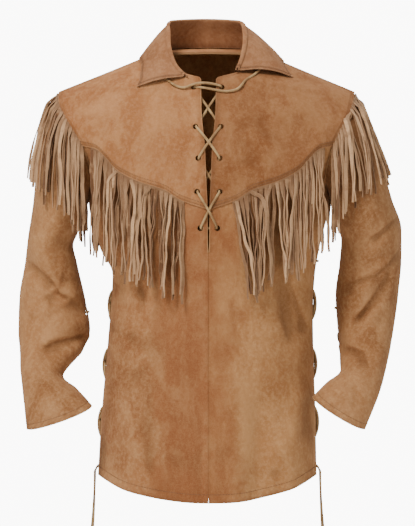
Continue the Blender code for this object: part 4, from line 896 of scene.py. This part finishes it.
def collarLine(side, station, tracks):
    # one cross-section, from the neck seam over the fold to the leaf's edge
    lift = cloth["layerGap"] + cloth["wall"] * 2 + collarCut["offYoke"]
    seam = neckPoint(side, tracks["quarter"](station))
    inward = -seam * np.array([1, 1, 0])
    inward = inward / np.linalg.norm(inward) * collarCut["seamIn"]
    seam = seam + inward + np.array([0, 0, collarCut["seamUp"]])
    fold = np.array([float(tracks[name](station)) for name in ("foldX", "foldY", "foldZ")])
    fold[0] *= sides[side]
    level, out = float(tracks["leafLevel"](station)), float(tracks["leafOut"](station))
    face = "front"
    if level > levelOf["shoulder"]:
        face, level = "back", 2 * levelOf["shoulder"] - level
    step = 0.004
    here = bodyPoint(side, face, out, level)
    further, nearer = min(out + step, 1), max(out - step, 0)
    across = bodyPoint(side, face, further, level) - bodyPoint(side, face, nearer, level)
    upward = bodyPoint(side, face, out, level + step) - bodyPoint(side, face, out, level - step)
    normal = np.cross(across, upward)
    normal /= np.linalg.norm(normal)
    normal = normal if normal[2] > 0 else -normal
    edge = here + normal * lift
    away = (edge - fold) * np.array([1, 1, 0])
    away /= np.linalg.norm(away)
    up = np.array([0, 0, 1.0])
    height = np.linalg.norm(fold - seam)
    roll = min(collarCut["roll"], collarCut["rollShare"] * height + collarCut["rollLeast"])
    stand = seam + (fold - away * roll - seam) * 0.5 + away * collarCut["standOut"] * height
    line = [seam, stand]
    for k in range(5):
        angle = math.pi * k / 4
        line.append(fold - away * roll * math.cos(angle) + up * roll * (math.sin(angle) - 1))
    start = line[-1]
    bulge = collarCut["bulge"] * np.linalg.norm(edge - start)
    standOff = normal + up * collarCut["leafUp"]
    standOff /= np.linalg.norm(standOff)
    for t in (1 / 3, 2 / 3, 1.0):
        line.append(start + (edge - start) * t + standOff * bulge * 2 * t * (1 - t))
    return line


def collarSurface():
    # the stations of the solid's collar are joined by smooth curves, across and then along the cloth
    half = collarCut["halfStations"]
    lines = []
    for side in ("right", "left"):
        tracks = {name: track(collarStations[side], "station", name) for name in collarColumns[1:]}
        part = [collarLine(side, i / half, tracks) for i in range(half + 1)]
        lines += part[:-1] if side == "right" else part[::-1]
    around = [smoothPath([Vector(line[k]) for line in lines], 10) for k in range(len(lines[0]))]
    grid = np.array([[list(p) for p in smoothPath(list(line), 6)] for line in zip(*around)])
    outward = grid - np.array([0.0, -10.0, -60.0])
    normals = normalsOf(grid, outward)
    return {"points": grid, "normals": normals, "fold": np.zeros(grid.shape[:2]),
            "sewn": cloth["collarSewn"]}


def interpolated(goals, marks, values):
    return np.stack([np.interp(goals, marks, values[:, c]) for c in range(3)], axis=-1)


def insetLine(surface, edge, distance):
    # points and normals at a distance in from one edge of a surface
    points, normals = surface["points"], surface["normals"]
    if edge in ("top", "last"):
        points, normals = points[::-1, ::-1], normals[::-1, ::-1]
    if edge in ("left", "last"):
        points, normals = points.swapaxes(0, 1), normals.swapaxes(0, 1)
    run = runAlong(points, 0)
    lines = range(points.shape[1])
    place, facing = (np.array([interpolated(distance, run[:, j], values[:, j]) for j in lines])
                     for values in (points, normals))
    return place, facing / np.linalg.norm(facing, axis=1, keepdims=True)


surfaces = {}
for sideName in sides:
    for faceName in ("front", "back"):
        surfaces[faceName, sideName] = bodySurface(sideName, faceName, 0, cloth["topLevel"], 0.0)
        # the yoke is a second layer, which no fringe covers, so it gets no painted shade from a fringe
        surface = bodySurface(sideName, faceName, levelOf["yoke"], cloth["topLevel"],
                              cloth["layerGap"] + cloth["wall"])
        surfaces["yoke", faceName, sideName] = {
            **surface, "sewn": cloth["yokeSewn"], "under": np.zeros(surface["fold"].shape)}
    surfaces["sleeve", sideName] = sleeveSurface(sideName)
surfaces["collar"] = collarSurface()
for key in (("back",), ("yoke", "back")):
    # the two halves of a back piece share one line of points down its middle
    first, second = (surfaces[(*key, sideName)]["points"] for sideName in sides)
    middle = (first[:, 0] + second[:, 0]) / 2 * np.array([0, 1, 1])
    first[:, 0] = second[:, 0] = middle
print("surfaces are worked out")


# cloth pieces

def deselectAll():
    if bpy.context.object and bpy.context.object.mode != "OBJECT":
        bpy.ops.object.mode_set(mode="OBJECT")
    bpy.ops.object.select_all(action="DESELECT")


def selectOnly(piece):
    deselectAll()
    piece.select_set(True)
    bpy.context.view_layer.objects.active = piece


def applyModifier(piece, kind, **settings):
    selectOnly(piece)
    modifier = piece.modifiers.new(kind.lower(), kind)
    for name, value in settings.items():
        setattr(modifier, name, value)
    bpy.ops.object.modifier_apply(modifier=modifier.name)


def editMesh(piece, action, **settings):
    # runs one operator on all of a piece's mesh
    selectOnly(piece)
    bpy.ops.object.mode_set(mode="EDIT")
    bpy.ops.mesh.select_all(action="SELECT")
    action(**settings)
    bpy.ops.object.mode_set(mode="OBJECT")


def addAttribute(data, label, values):
    layer = data.attributes.new(label, "FLOAT", "POINT")
    layer.data.foreach_set("value", np.ascontiguousarray(values, dtype=np.float32).reshape(-1))


def finishPiece(piece, material, angle=50):
    piece.data.materials.clear()
    piece.data.materials.append(material)
    selectOnly(piece)
    bpy.ops.object.shade_smooth_by_angle(angle=math.radians(angle))


def meshPiece(name, copies, faces):
    # one mesh from many copies of a template, each with its own points
    allFaces = [tuple(i + k * len(copy) for i in face) for k, copy in enumerate(copies) for face in faces]
    data = bpy.data.meshes.new(name)
    data.from_pydata((np.concatenate(copies) * mm).tolist(), [], allFaces)
    piece = addObject(name, data)
    editMesh(piece, bpy.ops.mesh.normals_make_consistent, inside=False)
    return piece


# in mm: how far in an edge is darkened, as soiling and painted shade, and how broad and dark the painted
# shade line beside it is, where its stitches would press a trough
edgeWear = {"soiledAndShaded": 6, "stitchShade": 2.4, "stitchShadeTone": 0.85}


def gridPiece(name, surface):
    # a grid primitive, laid on the surface, with its flat size as UV and its distance to the edge
    points = surface["points"] * mm
    fold = surface["fold"]
    across, up = runAlong(points, 1), runAlong(points, 0)
    edge = np.minimum(up, up.max(axis=0, keepdims=True) - up)
    edge = np.minimum(edge, across.max(axis=1, keepdims=True) - across)
    if not surface.get("joined"):
        # below the slit the two panels are sewn together, so their edges don't show
        edge = np.minimum(edge, across + surface.get("sewnUp", 0.0))
    # the painted shade under the fringe, where the surface has one
    under = surface.get("under", np.zeros(edge.shape))
    outwards = np.cross(points[1:, 1:] - points[1:, :-1], points[1:, 1:] - points[:-1, 1:])
    if np.sum(outwards * surface["normals"][1:, 1:]) < 0:
        points, fold, edge, across, up = (a[:, ::-1] for a in (points, fold, edge, across, up))
        under = under[:, ::-1]
    rows, columns = points.shape[:2]
    deselectAll()
    bpy.ops.mesh.primitive_grid_add(x_subdivisions=columns - 1, y_subdivisions=rows - 1, size=1)
    piece = bpy.context.object
    piece.name = piece.data.name = name
    data = piece.data
    data.vertices.foreach_set("co", np.ascontiguousarray(points, dtype=np.float32).reshape(-1))
    corner = np.zeros(len(data.loops), np.int32)
    data.loops.foreach_get("vertex_index", corner)
    flat = np.stack((across.reshape(-1), up.reshape(-1)), axis=1)[corner]
    data.uv_layers[0].data.foreach_set("uv", np.ascontiguousarray(flat, dtype=np.float32).reshape(-1))
    if "sewn" in surface:
        # painted shade: a dark line beside the edge, where a double row of stitches would press a shallow
        # trough
        stitchShade = bell(edge / mm - surface["sewn"], edgeWear["stitchShade"])
        fold = np.clip(fold - edgeWear["stitchShadeTone"] * stitchShade, -1, 1)
    edge = np.clip(edge / (edgeWear["soiledAndShaded"] * mm), 0, 1)
    # fold carries painted light and shade, edge carries soiling and painted shade, and the last one carries
    # the painted shade under the fringe
    for label, values in (("edge", edge), ("fold", fold), ("under", under)):
        addAttribute(data, label, values)
    data.update()
    return piece


def thicken(piece, wall):
    applyModifier(piece, "SOLIDIFY", thickness=wall * mm, offset=-1)


def joinAll(pieces):
    deselectAll()
    for piece in pieces:
        piece.select_set(True)
    bpy.context.view_layer.objects.active = pieces[0]
    bpy.ops.object.join()
    return pieces[0]


def mergeHalves(name, halves):
    whole = joinAll(halves)
    editMesh(whole, bpy.ops.mesh.remove_doubles, threshold=0.1 * mm)
    whole.name = whole.data.name = name
    return whole


def punch(piece, places, radius):
    # cuts round holes: each place is a point in mm and a direction
    cutters = []
    for point, normal in places:
        deselectAll()
        turn = Vector(normal).to_track_quat("Z", "Y").to_euler()
        bpy.ops.mesh.primitive_cylinder_add(vertices=holes["sides"], radius=radius * mm,
                                            depth=holes["depth"] * mm, location=Vector(point) * mm,
                                            rotation=turn)
        cutters.append(bpy.context.object)
    cutter = joinAll(cutters)
    applyModifier(piece, "BOOLEAN", operation="DIFFERENCE", solver="EXACT", object=cutter)
    bpy.data.objects.remove(cutter)


def finishCloth(piece, material, node):
    finishPiece(piece, material)
    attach(piece, "root")
    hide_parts(node)


# the holes for the laces

holes = {"radius": 4.9, "sides": 20, "depth": 12, "inset": 9.0, "frontPairs": 5, "yokePairs": 4,
         "sidePairs": 8, "sideTop": -345, "sideBottom": -696,
         "sleevePairs": 6, "sleeveTop": 0.60, "sleeveBottom": 0.975}
frontHoles = rowsOf(("leftX", "rightX", "z"), (
    (22.5, 25.5, -49), (21.0, 22.0, -117), (19.0, 17.5, -171), (19.0, 19.5, -228), (15.0, 14.0, -290)))


def nearestOn(surface, x, z):
    points = surface["points"]
    miss = np.hypot(points[..., 0] - x, points[..., 2] - z)
    i, j = np.unravel_index(np.argmin(miss), miss.shape)
    return np.array([x, points[i, j, 1], z]), surface["normals"][i, j]


def frontHolePlaces(side, surface, count):
    return [nearestOn(surface, sides[side] * row[side + "X"], row["z"]) for row in frontHoles[:count]]


def sideHolePlaces(surface):
    points, normals = insetLine(surface, "last", holes["inset"])
    order = np.argsort(points[:, 2])
    places = []
    for z in np.linspace(holes["sideTop"], holes["sideBottom"], holes["sidePairs"]):
        k = order[np.argmin(np.abs(points[order, 2] - z))]
        places.append((points[k], normals[k]))
    return places


def sleeveHolePlaces(surface):
    places = []
    for edge in ("left", "last"):
        points, normals = insetLine(surface, edge, holes["inset"])
        if edge == "last":
            points, normals = points[::-1], normals[::-1]
        for goal in np.linspace(holes["sleeveTop"], holes["sleeveBottom"], holes["sleevePairs"]):
            k = int(np.argmin(np.abs(surface["place"] - goal)))
            places.append((points[k], normals[k]))
    return places


for sideName in sides:
    surface = surfaces["front", sideName]
    panel = gridPiece("frontPanel_" + sideName, surface)
    thicken(panel, cloth["wall"])
    places = frontHolePlaces(sideName, surface, holes["frontPairs"]) + sideHolePlaces(surface)
    punch(panel, places, holes["radius"])
    material = suedes["frontLeft" if sideName == "left" else "frontRight"]
    finishCloth(panel, material, "front_" + sideName)
    surface = surfaces["yoke", "front", sideName]
    yoke = gridPiece("frontYoke_" + sideName, surface)
    thicken(yoke, cloth["wall"])
    punch(yoke, frontHolePlaces(sideName, surface, holes["yokePairs"]), holes["radius"])
    material = suedes["yokeLeft" if sideName == "left" else "yoke"]
    finishCloth(yoke, material, "yoke_front_" + sideName)
print("fronts and front yokes are cut and punched")

halves = [gridPiece("backHalf_" + sideName, surfaces["back", sideName]) for sideName in sides]
backPanel = mergeHalves("backPanel", halves)
thicken(backPanel, cloth["wall"])
punch(backPanel, [place for sideName in sides for place in sideHolePlaces(surfaces["back", sideName])],
      holes["radius"])
finishCloth(backPanel, suedes["back"], "back")
halves = [gridPiece("backYokeHalf_" + sideName, surfaces["yoke", "back", sideName]) for sideName in sides]
backYoke = mergeHalves("backYoke", halves)
thicken(backYoke, cloth["wall"])
finishCloth(backYoke, suedes["yoke"], "yoke_back")
collar = gridPiece("collarLeaf", surfaces["collar"])
thicken(collar, cloth["wall"])
finishCloth(collar, suedes["collar"], "collar")
for sideName in sides:
    surface = surfaces["sleeve", sideName]
    sleeve = gridPiece("sleeveTube_" + sideName, surface)
    thicken(sleeve, cloth["wall"])
    punch(sleeve, sleeveHolePlaces(surface), holes["radius"])
    finishCloth(sleeve, suedes["sleeve"], "sleeve_" + sideName)
print("back, collar and sleeves are sewn")


# fringe

# sizes in mm, twist in radians, leans and bends as shares of the fall; a pair is a range, but for a
# shade it is the mean and spread, and for a bundle the size and rate
fringe = {"width": 6.3, "thickness": 1.5, "pitch": 4.7, "strip": 4.5, "edgeGap": 1.0, "cuts": 38,
          "lowLift": 1.5, "highLift": 9.0, "sway": 18.0, "bend": 0.2, "twist": 1.7, "strays": 0.2,
          "strayLean": 0.13, "strayLift": 3, "kickShare": 0.14, "kickLift": 3, "leanSpread": 0.03,
          "uneven": (-0.6, 0.4), "broad": (0.82, 1.08), "curl": (-5, 9), "waves": (1.0, 2.6),
          "bends": (3.5, 6.5), "bent": (0.2, 1.0), "nearCloth": 4, "upperLift": 2.2, "upperShare": 0.75,
          "lowerShare": 0.3, "offCloth": 1.0, "liftRate": 7, "swayRate": 6, "ripple": 0.7, "ripples": 15,
          "leanLoss": 0.5, "bundles": ((0.045, 1.3), (0.03, 0.45)), "upperShade": (0.66, 0.22),
          "lowerShade": (0.2, 0.2), "rootShade": 0.4, "rootEnd": (0.01, 0.2), "stripShade": 0.2,
          "stripEdge": 0.9, "stripMiddle": 1.1, "stripThin": 0.8}
# where along a strand its turn, quiver and curl set in, and how much it narrows to the tip
strandForm = {"turn": (0.04, 0.18), "laterTurn": (0.15, 0.95), "quiver": 0.35, "quivers": 11,
              "quiverIn": (0.04, 0.2), "cut": (0.0, 0.03), "narrowing": 0.22, "curlIn": (0.05, 0.4)}
# the yoke's lengths count the strip
yokeFringe = {"length": 174.5, "spread": 24, "frontColumns": (0.14, 0.906), "backColumns": (0.006, 0.875),
              "rootLift": 1.0, "stripLift": 1.4}
armFringe = {"length": 160, "spread": 20, "frontLevel": 7.9, "backLevel": 7.8,
             "rootLift": 1.4, "stripLift": 1.9}
# strands whose lean is listed: the first ones from the slit were brushed out, and at the sleeve's head the
# strands are led over the place where they would part
leans = {
    "fringe_front_strands_left": dict(enumerate(
        (0.22, 0.25, 0.18, 0.21, 0.20, 0.13, 0.15, 0.12, 0.06, 0.08))),
    "fringe_front_strands_right": dict(enumerate((0.0, -0.02, 0.05, 0.03))),
    "fringe_armhole_strands_left": {
        38: 0.04, 40: -0.30, 41: -0.24, 42: -0.22, 43: -0.15, 44: -0.10, 45: -0.06},
}
# strands that spring aside before they fall, by their number from the centre
kicks = {
    "fringe_front_strands_left": {7: 1.9, 15: -0.8},
    "fringe_front_strands_right": {13: 0.9, 21: -1.0, 27: 1.1},
    "fringe_back_strands_left": {11: 1.2},
    "fringe_back_strands_right": {19: -1.1},
    "fringe_armhole_strands_left": {15: 0.9},
    "fringe_armhole_strands_right": {31: -0.9},
}


def skinTree(names):
    # the outer faces of some surfaces, for the strands to lie on
    corners, faces = [], []
    for name in names:
        points = surfaces[name]["points"]
        normals = surfaces[name]["normals"]
        rows, columns = points.shape[:2]
        start = len(corners)
        corners += [Vector(p) for p in points.reshape(-1, 3)]
        order = np.arange(rows * columns).reshape(rows, columns) + start
        quads = np.stack((order[:-1, :-1], order[:-1, 1:], order[1:, 1:], order[1:, :-1]), axis=-1)
        facing = np.cross(points[0, 1] - points[0, 0], points[1, 0] - points[0, 0]) @ normals[0, 0]
        faces += [tuple(int(i) for i in (quad if facing > 0 else quad[::-1]))
                  for quad in quads.reshape(-1, 4)]
    return BVHTree.FromPolygons(corners, faces)


def strandTemplate():
    # one strand, modelled once: a flat rod with soft corners and rings of points along it
    deselectAll()
    bpy.ops.mesh.primitive_cylinder_add(vertices=12, radius=0.5, depth=1)
    rod = bpy.context.object
    bpy.ops.object.mode_set(mode="EDIT")
    bpy.ops.mesh.select_mode(type="EDGE")
    bpy.ops.mesh.select_all(action="DESELECT")
    bpy.ops.object.mode_set(mode="OBJECT")
    for edge in rod.data.edges:
        a, b = (rod.data.vertices[i].co for i in edge.vertices)
        edge.select = abs(a.z - b.z) > 0.5
    bpy.ops.object.mode_set(mode="EDIT")
    bpy.ops.mesh.subdivide(number_cuts=fringe["cuts"])
    bpy.ops.mesh.select_mode(type="VERT")
    bpy.ops.object.mode_set(mode="OBJECT")
    points = np.array([v.co for v in rod.data.vertices])
    faces = [tuple(face.vertices) for face in rod.data.polygons]
    bpy.data.objects.remove(rod)
    points[:, :2] = np.sign(points[:, :2]) * np.abs(points[:, :2] * 2) ** 0.5 / 2
    return {"across": points[:, 0], "out": points[:, 1], "along": 0.5 - points[:, 2], "faces": faces}


def hang(root, across, length, tree, rng, lean, lift, kick):
    # lets a strand down from its root: it falls, follows the cloth under it and sways a little
    steps = fringe["cuts"] + 2
    step = length / (steps - 1)
    place, heading = Vector(root), Vector((0, 0, -1))
    phase, waves = rng.uniform(0, fullTurn), rng.uniform(*fringe["waves"])
    bends, bend = rng.uniform(*fringe["bends"]), rng.uniform(*fringe["bent"]) * fringe["bend"]
    path, normals = [], []
    for k in range(steps):
        share = k / (steps - 1)
        near, normal, _, _ = tree.find_nearest(place)
        height = fringe["offCloth"] + lift * min(1.0, share * fringe["liftRate"])
        off = (place - near).dot(normal)
        if off < height:
            place = place + normal * (height - off)
        path.append(place.copy())
        normals.append(normal.copy())
        fall = Vector((0, 0, -1))
        if off < height + fringe["nearCloth"]:
            fall = fall - normal * min(fall.dot(normal), 0.0)
        sway = fringe["sway"] / length * math.cos(phase + waves * fullTurn * share)
        ripple = fringe["ripple"] * fringe["sway"] / length
        sway += ripple * math.sin(phase * 2 + waves * fringe["ripples"] * share)
        sway += bend * math.sin(phase * 3 + bends * fullTurn * share)
        start = 1 - min(1.0, share / fringe["kickShare"])
        aside = lean * (1 - fringe["leanLoss"] * share) + sway * min(1, share * fringe["swayRate"])
        aside += kick * start
        fall = fall.normalized() + across * aside
        heading = (heading * 0.5 + fall.normalized() * 0.5).normalized()
        place = place + heading * step
    return np.array(path), np.array(normals)


def strandPoints(template, path, normals, across, rng, turn, width, roll):
    # bends the template along a path, with its own twist
    share = template["along"]
    marks = np.linspace(0, 1, len(path))
    centre, facing = interpolated(share, marks, path), interpolated(share, marks, normals)
    way = interpolated(share, marks, np.gradient(path, axis=0))
    way /= np.linalg.norm(way, axis=1, keepdims=True)
    side = np.cross(way, facing)
    side /= np.linalg.norm(side, axis=1, keepdims=True)
    if np.sum(side * across) < 0:
        side = -side
    out = np.cross(side, way)
    out *= np.sign(np.sum(out * facing, axis=1, keepdims=True))
    form = strandForm
    twist = turn * (0.5 * smoothStep(share, *form["turn"]) + 0.5 * smoothStep(share, *form["laterTurn"]))
    quiver = form["quiver"] * np.sin(share * form["quivers"] + rng.uniform(0, 6))
    twist = twist + quiver * smoothStep(share, *form["quiverIn"])
    cos, sin = np.cos(twist)[:, None], np.sin(twist)[:, None]
    # a strand is as broad as its share of the strip until its cut begins
    cut = smoothStep(share, *form["cut"])
    broad = fringe["pitch"] * (1 - cut) + width * (1 - form["narrowing"] * share**3) * cut
    wide = (side * cos + out * sin) * (template["across"] * broad)[:, None]
    curl = roll * (template["across"] ** 2) * smoothStep(share, *form["curlIn"])
    thick = (out * cos - side * sin) * (template["out"] * fringe["thickness"] + curl)[:, None]
    return centre + wide + thick


def combPiece(name, roots, across, lengths, tree, seed):
    # one row of strands as one mesh, with a tone for each strand, random and with painted shade, and a mark
    # for its cut edges
    rng = random.Random(seed)
    template = strandTemplate()
    strands, tone = [], []
    for number, root in enumerate(roots):
        # every second strand hangs in the layer underneath
        over = number % 2
        lift = rng.uniform(fringe["lowLift"], fringe["highLift"])
        lift = lift * fringe["upperShare" if over else "lowerShare"] + fringe["upperLift"] * over
        # neighbours hang in loose bundles, and a few strands stray across them
        lean = sum(size * math.sin(number * rate + seed) for size, rate in fringe["bundles"])
        lean += rng.gauss(0, fringe["leanSpread"])
        if number in leans.get(name, {}):
            lean = leans[name][number]
        elif rng.random() < fringe["strays"]:
            lean += rng.choice((-1, 1)) * fringe["strayLean"]
            lift += fringe["strayLift"]
        kick = kicks.get(name, {}).get(number, 0)
        lift += abs(kick) * fringe["kickLift"]
        path, normals = hang(root, Vector(across[number]), lengths[number], tree, rng, lean, lift, kick)
        turn = rng.gauss(0, fringe["twist"])
        width = fringe["width"] * rng.uniform(*fringe["broad"])
        strands.append(strandPoints(template, path, normals, across[number], rng, turn, width,
                                    rng.uniform(*fringe["curl"])))
        # painted shade: the strands that lie underneath are the darker ones
        shade = rng.gauss(*fringe["upperShade" if over else "lowerShade"])
        # and the roots, in the shade of the yoke, are darker than the ends
        lit = (1 - fringe["rootShade"]) * smoothStep(template["along"], *fringe["rootEnd"])
        tone += list(np.clip(shade * (fringe["rootShade"] + lit), 0, 1))
    piece = meshPiece(name, strands, template["faces"])
    addAttribute(piece.data, "tone", tone)
    rim = np.clip(np.abs(template["across"]) * 2, 0, 1) ** 3
    addAttribute(piece.data, "rim", np.tile(rim, len(strands)))
    return piece


def bandPiece(low, high):
    # the uncut strip that carries the strands, as a thin band between two lines
    edge = fringe["stripEdge"]
    middle = (low[0] + high[0]) / 2 + low[1] * fringe["stripMiddle"]
    lines = {"points": np.stack((low[0] + low[1] * edge, middle, high[0] + high[1] * edge)),
             "normals": np.stack((low[1], low[1], high[1])), "fold": np.zeros((3, len(low[0])))}
    band = gridPiece("fringeBand", lines)
    thicken(band, fringe["thickness"] * fringe["stripThin"])
    return band


def evenPlaces(line, normals, pitch):
    # stations at even distances along a line, with the way across and the normal at each
    run = np.concatenate(([0.0], np.cumsum(np.linalg.norm(np.diff(line, axis=0), axis=1))))
    count = max(2, round(run[-1] / pitch))
    goals = (np.arange(count) + 0.5) * run[-1] / count
    spots, facing = interpolated(goals, run, line), interpolated(goals, run, normals)
    ways = np.gradient(spots, axis=0)
    return spots, facing, ways / np.linalg.norm(ways, axis=1, keepdims=True)


def addFringe(name, node, surface, keep, cut, tree, seed):
    # strands and their strip along the kept part of a surface's first row
    top, topNormals = (part[keep] for part in insetLine(surface, "bottom", fringe["edgeGap"]))
    lowInset = fringe["edgeGap"] + fringe["strip"]
    low, lowNormals = (part[keep] for part in insetLine(surface, "bottom", lowInset))
    rng = random.Random(seed)
    spots, facing, ways = evenPlaces(top, topNormals, fringe["pitch"])
    roots = spots + facing * cut["rootLift"]
    lengths = [cut["length"] + rng.uniform(*fringe["uneven"]) * cut["spread"] for _ in roots]
    strands = combPiece(name, roots, ways, lengths, tree, seed)
    lift = cut["stripLift"]
    band = bandPiece((low + lowNormals * lift, lowNormals), (top + topNormals * lift, topNormals))
    # painted shade: the strip under the yoke's edge is dark
    addAttribute(band.data, "tone", np.full(len(band.data.vertices), fringe["stripShade"]))
    joinAll([strands, band])
    finishPiece(strands, strandFinish)
    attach(strands, "root")
    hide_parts(node)


def addYokeFringe(face, side, tree, seed):
    surface = surfaces[face, side]
    row = np.searchsorted(surface["level"], levelOf["yoke"])
    lower = {key: surface[key][:row + 1][::-1] for key in ("points", "normals")}
    first, last = yokeFringe[face + "Columns"]
    out = surface["out"][row]
    keep = (out >= first) & (out <= last)
    addFringe("fringe_" + face + "_strands_" + side, "fringe_" + face + "_" + side, lower, keep, yokeFringe,
              tree, seed)


def addArmFringe(side, tree, seed):
    surface = surfaces["sleeve", side]
    points = surface["points"]
    # the columns run from the underarm up the back and down the front
    heights = [edgePoint(side, face, armFringe[face + "Level"])[2] for face in ("back", "front")]
    peak = int(np.argmax(points[0, :, 2]))
    order = np.arange(points.shape[1])
    backFirst = points[0, peak // 2, 1] > 0
    limit = np.where((order < peak) == backFirst, heights[0], heights[1])
    keep = points[0, :, 2] > limit
    addFringe("fringe_armhole_strands_" + side, "fringe_armhole_" + side, surface, keep, armFringe,
              tree, seed)


for number, sideName in enumerate(sides):
    skin = skinTree([("front", sideName), ("back", sideName), ("sleeve", sideName)])
    addYokeFringe("front", sideName, skin, 41 + number)
    addYokeFringe("back", sideName, skin, 51 + number)
    addArmFringe(sideName, skin, 61 + number)
print("fringes hang")


# laces, rounded from their solids

laces = {"swell": 1.5, "levels": 2, "weld": 0.01, "faceAngle": 60, "shapeAngle": 120}


def roundLace(node):
    source = frame["nodes"][node]
    lace = source.copy()
    lace.data = source.data.copy()
    lace.name = lace.data.name = "thong_" + node
    lace.parent = None
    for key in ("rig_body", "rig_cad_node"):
        if key in lace:
            del lace[key]
    bpy.context.scene.collection.objects.link(lace)
    editMesh(lace, bpy.ops.mesh.remove_doubles, threshold=laces["weld"] * mm)
    editMesh(lace, bpy.ops.mesh.tris_convert_to_quads, face_threshold=math.radians(laces["faceAngle"]),
             shape_threshold=math.radians(laces["shapeAngle"]))
    applyModifier(lace, "DISPLACE", strength=laces["swell"] * mm, mid_level=0)
    applyModifier(lace, "SUBSURF", levels=laces["levels"], render_levels=laces["levels"])
    bpy.ops.object.shade_smooth()
    lace.data.materials.clear()
    lace.data.materials.append(thongFinish)
    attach(lace, "root")
    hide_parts(node)


for nodeName in ("lace_front", "lace_side_left", "lace_side_right", "lace_sleeve_left", "lace_sleeve_right"):
    roundLace(nodeName)
print("laces are drawn tight")


# stitching

stitch = {"length": 3.5, "pitch": 4.7, "thickness": 0.95, "lift": 0.12, "flat": 0.7,
          "yokeRows": (3.5, 8.5), "collar": 5.0, "hem": 15.0, "cuff": 12.0}


def stitchRows(name, rows):
    # each row is a line of points with normals; one short thread is copied along it
    deselectAll()
    bpy.ops.mesh.primitive_cylinder_add(vertices=6, radius=0.5, depth=1)
    bead = bpy.context.object
    shape = np.array([v.co for v in bead.data.vertices])
    faces = [tuple(face.vertices) for face in bead.data.polygons]
    bpy.data.objects.remove(bead)
    threads = []
    for line, normals in rows:
        for spot, normal, way in zip(*evenPlaces(line, normals, stitch["pitch"])):
            side = np.cross(way, normal)
            threads.append(spot + normal * stitch["lift"] + np.outer(shape[:, 2] * stitch["length"], way)
                           + np.outer(shape[:, 0] * stitch["thickness"], side)
                           + np.outer(shape[:, 1] * stitch["thickness"] * stitch["flat"], normal))
    piece = meshPiece(name, threads, faces)
    finishPiece(piece, threadFinish, 60)
    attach(piece, "root")


yokeRows = [insetLine(surfaces["yoke", faceName, sideName], "bottom", far)
            for faceName in ("front", "back") for sideName in sides for far in stitch["yokeRows"]]
stitchRows("stitching_yoke", yokeRows)
hemRows = [insetLine(surfaces[faceName, sideName], "bottom", stitch["hem"])
           for faceName in ("front", "back") for sideName in sides]
stitchRows("stitching_hem", hemRows)
cuffRows = [insetLine(surfaces["sleeve", sideName], "top", stitch["cuff"]) for sideName in sides]
stitchRows("stitching_cuffs", cuffRows)
collarRows = [insetLine(surfaces["collar"], edge, stitch["collar"]) for edge in ("last", "bottom", "top")]
stitchRows("stitching_collar", collarRows)
print("seams are stitched")


# floor and backdrop

def addStage():
    deselectAll()
    bpy.ops.mesh.primitive_circle_add(vertices=96, radius=stage["radius"], fill_type="NGON",
                                      location=(0, 0, stage["floorZ"]))
    floor = bpy.context.object
    floor.name = "floor"
    material, tree, shader = newMaterial("paleFloor", 0.9, 0.2)
    colour = mixed(tree, noiseOf(tree, placeOf(tree), 900, 2), linear("#F1F0EE"), linear("#F5F4F2"))
    tree.links.new(colour, shader.inputs["Base Color"])
    shader.inputs["Emission Color"].default_value = linear("#F3F2F0")
    shader.inputs["Emission Strength"].default_value = stage["floorGlow"]
    floor.data.materials.append(material)
    world = bpy.data.worlds.new("softStudio")
    bpy.context.scene.world = world
    world.use_nodes = True
    # the camera sees a brighter backdrop than the one that lights the shirt
    seen = addNode(world.node_tree, "ShaderNodeLightPath").outputs["Is Camera Ray"]
    glow = world.node_tree.nodes["Background"]
    glow.inputs["Color"].default_value = stage["worldColour"]
    strength = spread(world.node_tree, seen, 0.0, 1.0, stage["world"], stage["seenWorld"])
    world.node_tree.links.new(strength, glow.inputs["Strength"])


addStage()
print("the scene is ready")
